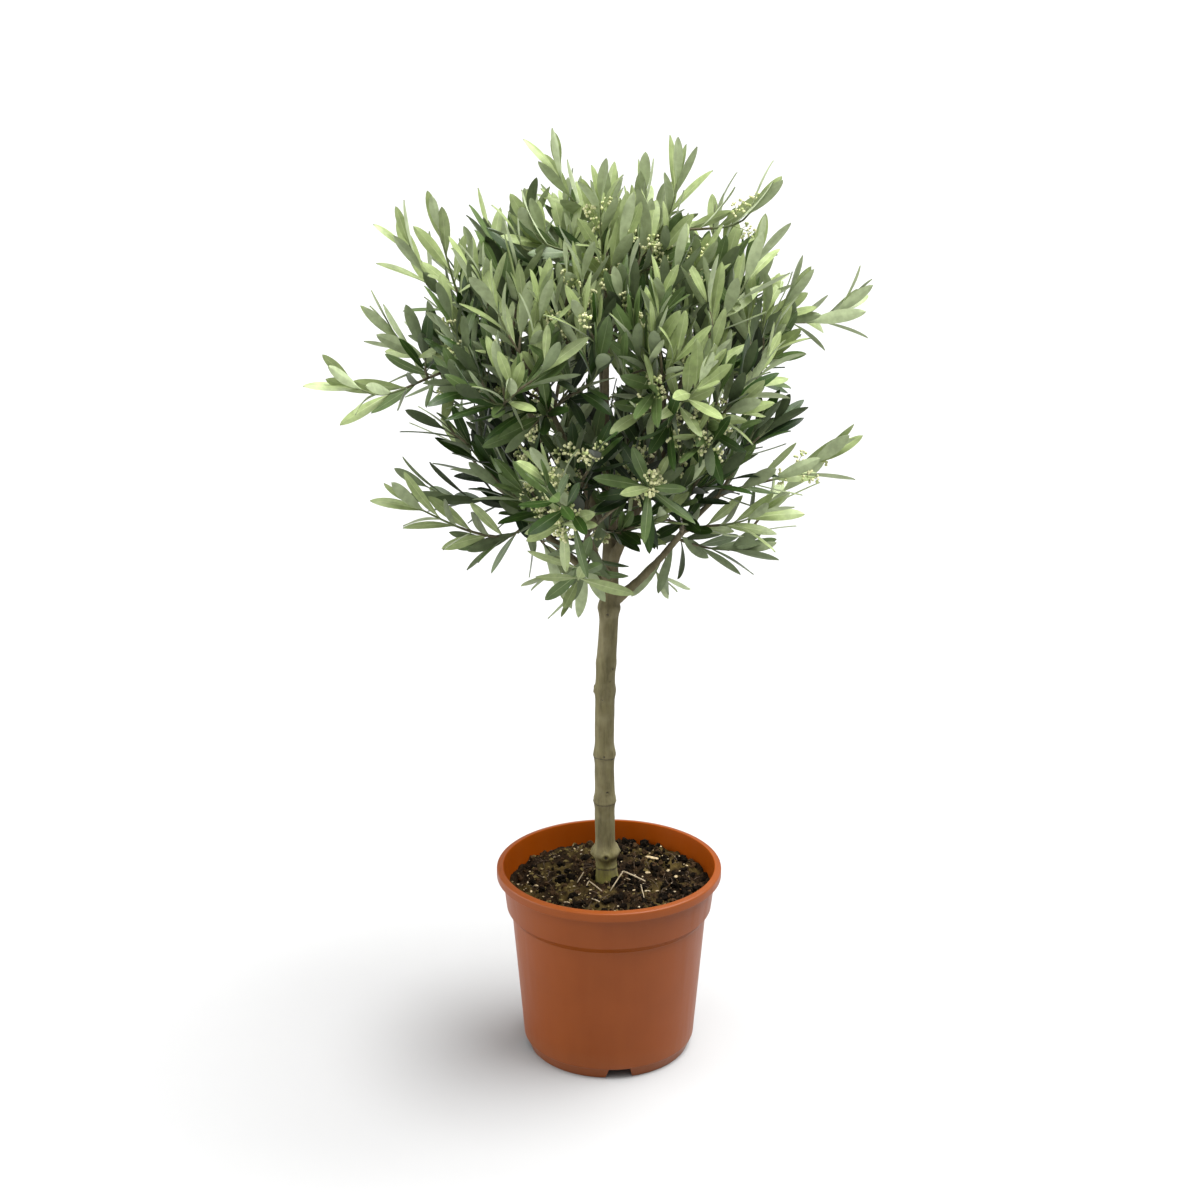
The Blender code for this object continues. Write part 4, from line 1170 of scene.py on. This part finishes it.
class Mass:
    """One mass of foliage: its twigs, leaves and panicles."""

    def __init__(self, plan, plans, limbs):
        self.name, self.site, bough, radii = plan
        self.walls = cell_walls(self.site, [other[1] for other in plans])
        self.limbs = limbs
        self.rng = np.random.default_rng(SEED)
        self.direction = unit(bough[-1] - bough[-2])
        self.start = bough[-1] - self.direction * radii[-1]
        self.stem_radius = radii[-1]
        self.twigs, self.leaves, self.panicles = [], [], []
        self.node_places, self.node_directions = np.zeros((0, 3)), np.zeros((0, 3))
        self.middles = np.zeros((0, 3))

    def add_twig(self, points, foot_radius, tip_radius):
        self.twigs.append((points, np.linspace(foot_radius, tip_radius, len(points))))
        self.fill(points)
        length = np.linalg.norm(points[1:] - points[:-1], axis=1).sum()
        for back in np.arange(PAIR_SPACING, length - NODE_SPACING / 2, NODE_SPACING):
            place, direction = place_along(points, back)
            self.node_places = np.vstack((self.node_places, place))
            self.node_directions = np.vstack((self.node_directions, direction))

    def fill(self, points):
        """The room left at each place is its distance from the nearest twig or leaf."""
        away = np.linalg.norm(self.places[:, None] - points, axis=-1).min(axis=1)
        self.room = np.minimum(self.room, away)

    def grow(self, leading, whorls, places):
        """The stem goes to the site, then shoots to the leading ends, then to the emptiest places."""
        self.places = places[depth_inside(places, self.walls) > SHOOT_DEPTH]
        self.room = np.full(len(self.places), np.inf)
        halfway = self.start + self.direction * np.linalg.norm(self.site - self.start) / 2
        stem = bezier(self.start, halfway, self.site, TWIG_POINTS)
        self.add_twig(stem, self.stem_radius, STEM_TIP_RADIUS)
        own = [tip for tip in leading if depth_inside(leading_end(tip, 0), self.walls) > 0]
        for tip in sorted(own, key=lambda tip: np.linalg.norm(tip - self.start)):
            self.add_rising(tip, leading=True)
        for end in whorls:
            if depth_inside(end, self.walls) > 0:
                self.add_shoot(end, unit(WHORL_WAY), whorl=True)
        most = LEAVES_PER_MASS[self.name.split("_")[0]]
        while len(self.leaves) < most and self.room.max() > SHOOT_LEAST:
            emptiest = int(self.room.argmax())
            end = self.places[emptiest]
            self.room[emptiest] = 0
            self.add_rising(end)

    def add_rising(self, place, leading=False):
        """A shoot to this place, with less lift where it would leave the space with more."""
        for share in LIFT_SHARES:
            end = leading_end(place, share) if leading else place
            if self.add_shoot(end, rising(place, share)):
                return

    def shoot_line(self, end, ahead):
        """From the place on the twigs that reaches the end with least turn and length, up to the end."""
        ways = end - self.node_places
        lengths = np.linalg.norm(ways, axis=1)
        turns = (self.node_directions * ways).sum(axis=1) / lengths
        leans = ways @ ahead / lengths
        best = int((lengths * (TURN_COST - turns + LEAN_COST * (1 - leans))).argmin())
        start, length = self.node_places[best], lengths[best]
        leaving = unit(self.node_directions[best] * TWIG_LEAVING + ways[best] / length)
        bow = TWIG_BOW * length
        return cubic(start, start + leaving * bow, end - ahead * bow, end, TWIG_POINTS)

    def add_shoot(self, end, ahead, whorl=False):
        """A twig to this end with its leaves, unless it would leave the space or touch a limb."""
        line = self.shoot_line(end, ahead)
        inside = depth_inside(line, self.walls).min() > TWIG_FOOT_RADIUS
        if not inside or not clear_of_limbs(line[3:], TWIG_FOOT_RADIUS, self.limbs):
            return False
        length = np.linalg.norm(line[1:] - line[:-1], axis=1).sum()
        foot_radius = min(TWIG_FOOT_RADIUS, TWIG_RADIUS_START + length * TWIG_RADIUS_GROWTH)
        self.add_twig(line, foot_radius, TWIG_TIP_RADIUS)
        self.add_leaves(line, whorl)
        return True

    def spray_painted_light(self, end):
        """How light a spray's leaves are, 0 to 1, as painted light: lighter up, out and in front, with some
        chance.
        """
        up = (end[2] - UPPER_START) / UPPER_SPAN
        out = np.linalg.norm(end - np.array(CROWN_CENTRE)) / SHOOT_REACH
        low = math.exp(-(((end[2] - LOW_LIGHT_HEIGHT) / LOW_LIGHT_SPREAD) ** 2))
        light = LEAST_LIGHT + UPPER_LIGHT * up * abs(up) + OUTER_LIGHT * out**2 + LOW_LIGHT * low
        return light - FRONT_LIGHT * end[1] + self.rng.uniform(-LIGHT_CHANCE, LIGHT_CHANCE)

    def flowers(self, end):
        """Whether the shoot that ends here has panicles."""
        nearest = min(np.linalg.norm(end - np.array(place)) for place in FLOWERING_PLACES)
        return nearest < FLOWERING_REACH or self.rng.random() < PANICLE_SHARE

    def add_leaves(self, line, whorl):
        """Pairs of leaves from the shoot's tip backwards, each pair square to the one before."""
        first_turn = self.rng.uniform(0, math.pi)
        light = self.spray_painted_light(line[-1])
        flowering = self.flowers(line[-1])
        back = FIRST_PAIR
        for pair, (share, opening) in enumerate(zip(PAIR_SIZES, WHORL_OPENINGS if whorl else PAIR_OPENINGS)):
            place = place_along(line, back)
            if place is None:
                return
            closer = WHORL_SPACING if whorl else FIRST_SPACING if pair == 0 else 1
            back += PAIR_SPACING * self.rng.uniform(*PAIR_SPREAD) * closer
            for side in range(2):
                turn = first_turn + pair * math.pi / 2 + side * math.pi + self.rng.normal(scale=TURN_SPREAD)
                length = LEAF_LENGTH * share * self.rng.uniform(*LEAF_SPREAD)
                opened = opening * self.rng.uniform(*OPENING_SPREAD)
                self.try_leaf(*place, turn, opened, length, light - PAIR_LIGHT * pair)
                if flowering and pair in FLOWERING_PAIRS and self.rng.random() < PANICLE_CHANCE:
                    self.add_panicle(*place, turn)

    def fits(self, middles):
        """Whether a leaf with these middles stays in its space and off the limbs and other leaves."""
        if depth_inside(middles, self.walls).min() < -LEAF_CROSSING:
            return False
        if not clear_of_limbs(middles, LEAF_LIMB_GAP + LEAF_WIDTH / 2, self.limbs):
            return False
        between = np.linalg.norm(self.middles[:, None] - middles, axis=-1)
        return between.min(initial=np.inf) >= LEAF_GAP

    def try_leaf(self, seat, direction, turn, opening, length, light):
        """Adds the leaf where it fits, turned or smaller if it must be, or leaves it out."""
        for swing, closing, size in LEAF_TRIES:
            line, across, normal = leaf_frame(direction, turn + math.radians(swing), opening * closing)
            middles = seat + line * length * size * np.array(LEAF_MIDDLES)[:, None]
            if not self.fits(middles):
                continue
            width = LEAF_WIDTH * size * (length / LEAF_LENGTH) ** 0.5 * self.rng.uniform(*LEAF_WIDTH_SPREAD)
            shade = light + self.rng.normal(scale=TONE_SPREAD)
            tone = int(np.clip(shade * len(TONES), 0, len(TONES) - 1))
            arch, fold = self.rng.normal(*LEAF_ARCH), self.rng.uniform(*LEAF_FOLD)
            bend = arch, fold, self.rng.normal(scale=LEAF_TWIST)
            self.leaves.append((tone, seat, line, across, normal, length * size, width, *bend))
            self.middles = np.vstack((self.middles, middles))
            self.fill(middles)
            return

    def add_panicle(self, seat, direction, turn):
        out = side_of(direction, turn)
        heading = unit(direction * PANICLE_AHEAD + out * self.rng.uniform(*PANICLE_OUT) + (0, 0, PANICLE_UP))
        self.panicles.append((seat, heading, self.rng.uniform(*PANICLE_LENGTH), self.rng.uniform(0, math.pi)))


# The foliage's meshes


def leaf_outline(stations):
    """Half the width at each station as a share of the leaf's half width: a stalk, then the blade."""
    blade = np.clip((stations - STALK_SHARE) / (1 - STALK_SHARE), 0, 1)
    form = blade**LEAF_ROOT_FORM * (1 - blade) ** LEAF_TIP_FORM
    widest = LEAF_ROOT_FORM / (LEAF_ROOT_FORM + LEAF_TIP_FORM)
    return form / (widest**LEAF_ROOT_FORM * (1 - widest) ** LEAF_TIP_FORM)


def sheet_points(leaves, places, upper):
    """The points of one face of all the leaves: (leaf, station, place across, 3)."""
    seat, line, across, normal = (np.array([leaf[k] for leaf in leaves])[:, None, None] for k in range(1, 5))
    length, width, arch, fold, twist = (
        np.array([leaf[k] for leaf in leaves])[:, None, None, None] for k in range(5, 10)
    )
    t = LEAF_STATIONS[None, :, None, None]
    u = places[None, None, :, None]
    on_rib = np.abs(u) <= RIB_PLACE
    blade = width / 2 * leaf_outline(LEAF_STATIONS)[None, :, None, None]
    half_width = np.maximum(blade, STALK_WIDTH / 2 * (1 - t) ** 0.2)
    rib = np.minimum(RIB_WIDTH / 2 * (1.1 - t), RIB_MOST * half_width)
    beyond = rib + (half_width - rib) * (np.abs(u) - RIB_PLACE) * 2
    y = np.sign(u) * np.where(on_rib, rib, beyond)
    share = np.abs(y) / half_width.clip(1e-6)
    z = np.abs(y) * np.sin(fold) - LEAF_ROLL * half_width * share**4
    thickness = LEAF_THICKNESS / 2 * (1 - share**2) + RIB_RELIEF * on_rib
    z = z + thickness if upper else z - thickness - RIB_RELIEF * on_rib
    y = y * np.cos(fold)
    turn = twist * t
    y, z = y * np.cos(turn) - z * np.sin(turn), y * np.sin(turn) + z * np.cos(turn)
    angle = arch * t
    ahead = length * t * np.sinc(angle / math.pi)
    down = length * arch * t**2 / 2 * np.sinc(angle / math.tau) ** 2
    lift = normal * np.cos(angle) + line * np.sin(angle)
    return seat + line * ahead - normal * down + across * y + lift * z


def sheet_faces(stations, places, upper):
    """Quads of one face of a leaf, and the slot of each: 0 blade, 1 midrib, 2 under face."""
    faces, slots = [], []
    for s in range(stations - 1):
        for p in range(places - 1):
            corners = (s * places + p, (s + 1) * places + p, (s + 1) * places + p + 1, s * places + p + 1)
            faces.append(corners if upper else corners[::-1])
            middle = p == (places - 1) // 2
            slots.append((1 if middle else 0) if upper else 2)
    return faces, slots


def build_leaves(leaves, nodes):
    for tone, name in enumerate(TONES):
        chosen = [leaf for leaf in leaves if leaf[0] == tone]
        pile = Pile()
        for places, upper in ((UPPER_PLACES, True), (UNDER_PLACES, False)):
            points = sheet_points(chosen, places, upper)
            faces, slots = sheet_faces(len(LEAF_STATIONS), len(places), upper)
            for leaf in points:
                pile.add(leaf.reshape(-1, 3), faces, slots)
        show(pile.build(f"leaves_{name}", leaf_materials(name)), "foliage", *nodes)


def build_twigs(masses, nodes):
    pile = Pile()
    for mass in masses:
        for order, (points, radii) in enumerate(mass.twigs):
            verts, faces = tube(points, radii, TWIG_SIDES)
            rows = np.arange(len(faces)) // TWIG_SIDES
            pile.add(verts, faces, ((rows >= YOUNG_ROW) & (order > 0)).astype(int))
    finishes = (
        bark("twig_bark", (0.10, 0.085, 0.05), (0.11, 0.095, 0.055), (0.14, 0.12, 0.072), (0.06, 0.05, 0.03)),
        leaf_finish("twig_young", (0.135, 0.160, 0.070), 0.6),
    )
    show(pile.build("twigs", finishes), "foliage", *nodes)


class Blossom:
    """The stalks and the buds of all the panicles."""

    def __init__(self):
        self.rng = np.random.default_rng(SEED + 2)
        latitudes = np.linspace(-math.pi / 2, math.pi / 2, BUD_BANDS + 1)
        verts, self.faces = turned([(math.cos(a), math.sin(a)) for a in latitudes], BUD_SIDES)
        self.ball = np.array(verts)
        self.stalks, self.buds = Pile(), Pile()

    def add_bud(self, place):
        radius = self.rng.uniform(*BUD_RADIUS)
        slot = int(self.rng.random() < BUD_GREEN_SHARE)
        stretch = (1, 1, self.rng.uniform(*BUD_STRETCH))
        self.buds.add(self.ball * radius * stretch @ random_turn(self.rng) + place, self.faces, slot)

    def add_branch(self, place, direction, turn, reach, beside):
        """A side stalk with a bud at its end, and two more where there is a turn for the one beside it."""
        out = side_of(direction, turn)
        end = place + (out + direction * BRANCH_AHEAD) * (reach * self.rng.uniform(*BRANCH_SPREAD))
        self.stalks.add(*tube([place, end], BRANCH_RADII, PANICLE_SIDES))
        self.add_bud(end)
        if beside is not None:
            self.add_bud(end + side_of(direction, beside) * SIDE_BUD)
            self.add_bud(end - direction * LOW_BUD_BACK + np.cross(direction, out) * LOW_BUD)

    def add_panicle(self, seat, heading, length, first):
        """A stalk with opposite branches, each pair square to the one before."""
        end = seat + heading * length
        middle = (seat + end) / 2 + self.rng.normal(scale=PANICLE_WAVE, size=3)
        line = bezier(seat, middle, end, len(PANICLE_RADII))
        self.stalks.add(*tube(line, PANICLE_RADII, PANICLE_SIDES))
        self.add_bud(end)
        for level, share in enumerate(BRANCH_PLACES):
            place, direction = place_along(line, length * (1 - share))
            reach = length * (BRANCH_REACH - BRANCH_LESS * level)
            for side in range(2):
                turn = first + level * math.pi / 2 + side * math.pi
                beside = first + side if level < FULL_BRANCHES else None
                self.add_branch(place, direction, turn, reach, beside)


def build_panicles(masses):
    blossom = Blossom()
    for mass in masses:
        for panicle in mass.panicles:
            blossom.add_panicle(*panicle)
    stalk = leaf_finish("bud_stalk", (0.36, 0.42, 0.16), 0.6)
    show(blossom.stalks.build("bud_stalks", (stalk,)), "foliage")
    finishes = (
        leaf_finish("bud_cream", (0.66, 0.66, 0.36), 0.55, sheen=0.1, mottle=0.06),
        leaf_finish("bud_green", (0.42, 0.48, 0.19), 0.55, mottle=0.08),
    )
    show(blossom.buds.build("buds", finishes), "foliage")


def build_foliage(plans):
    limbs = limb_segments(plans)
    leading, places = np.array(LEADING_TIPS), crown_places()
    whorls = [np.array(place) for place in OPEN_WHORLS]
    masses = [Mass(plan, plans, limbs) for plan in plans]
    for mass in masses:
        mass.grow(leading, whorls, places)
    nodes = [f"foliage_{mass.name}" for mass in masses]
    build_twigs(masses, nodes)
    build_leaves([leaf for mass in masses for leaf in mass.leaves], nodes)
    build_panicles(masses)


# The stage


def build_stage():
    half = FLOOR_SIZE / 2
    corners = [(-half, -half, 0), (half, -half, 0), (half, half, 0), (-half, half, 0)]
    grey = (FLOOR_TONE, FLOOR_TONE, FLOOR_TONE, 1.0)
    finish = Finish("pale_floor", 0.9, Specular_IOR_Level=0.1, Base_Color=grey)
    floor = mesh_object("floor", corners, [(0, 1, 2, 3)], (finish.material,))


def build_light():
    """A pale surround and three large soft lamps, the strongest high on the right."""
    world = bpy.data.worlds.new("studio")
    world.use_nodes = True
    surround = world.node_tree.nodes["Background"]
    surround.inputs["Color"].default_value = (1.0, 1.0, 1.0, 1.0)
    surround.inputs["Strength"].default_value = SURROUND_LIGHT
    bpy.context.scene.world = world
    for name, direction, strength, angle in LAMPS:
        data = bpy.data.lights.new(name, "SUN")
        data.energy = strength
        data.angle = math.radians(angle)
        lamp = bpy.data.objects.new(name, data)
        lamp.rotation_euler = (-Vector(direction)).to_track_quat("-Z", "Y").to_euler()
        bpy.context.scene.collection.objects.link(lamp)
    bpy.context.scene.view_settings.view_transform = "Standard"


def build_camera():
    data = bpy.data.cameras.new("camera")
    data.lens = CAMERA_LENS
    data.clip_start = 0.05
    camera = bpy.data.objects.new("camera", data)
    camera.location = CAMERA_PLACE
    camera.rotation_euler = (CAMERA_PITCH, 0, 0)
    bpy.context.scene.collection.objects.link(camera)
    bpy.context.scene.camera = camera


build_camera()
build_light()
build_stage()
build_pot()
build_soil_body()
build_crumbs()
build_litter()
the_plans = bough_plans()
build_limbs(the_plans)
build_foliage(the_plans)
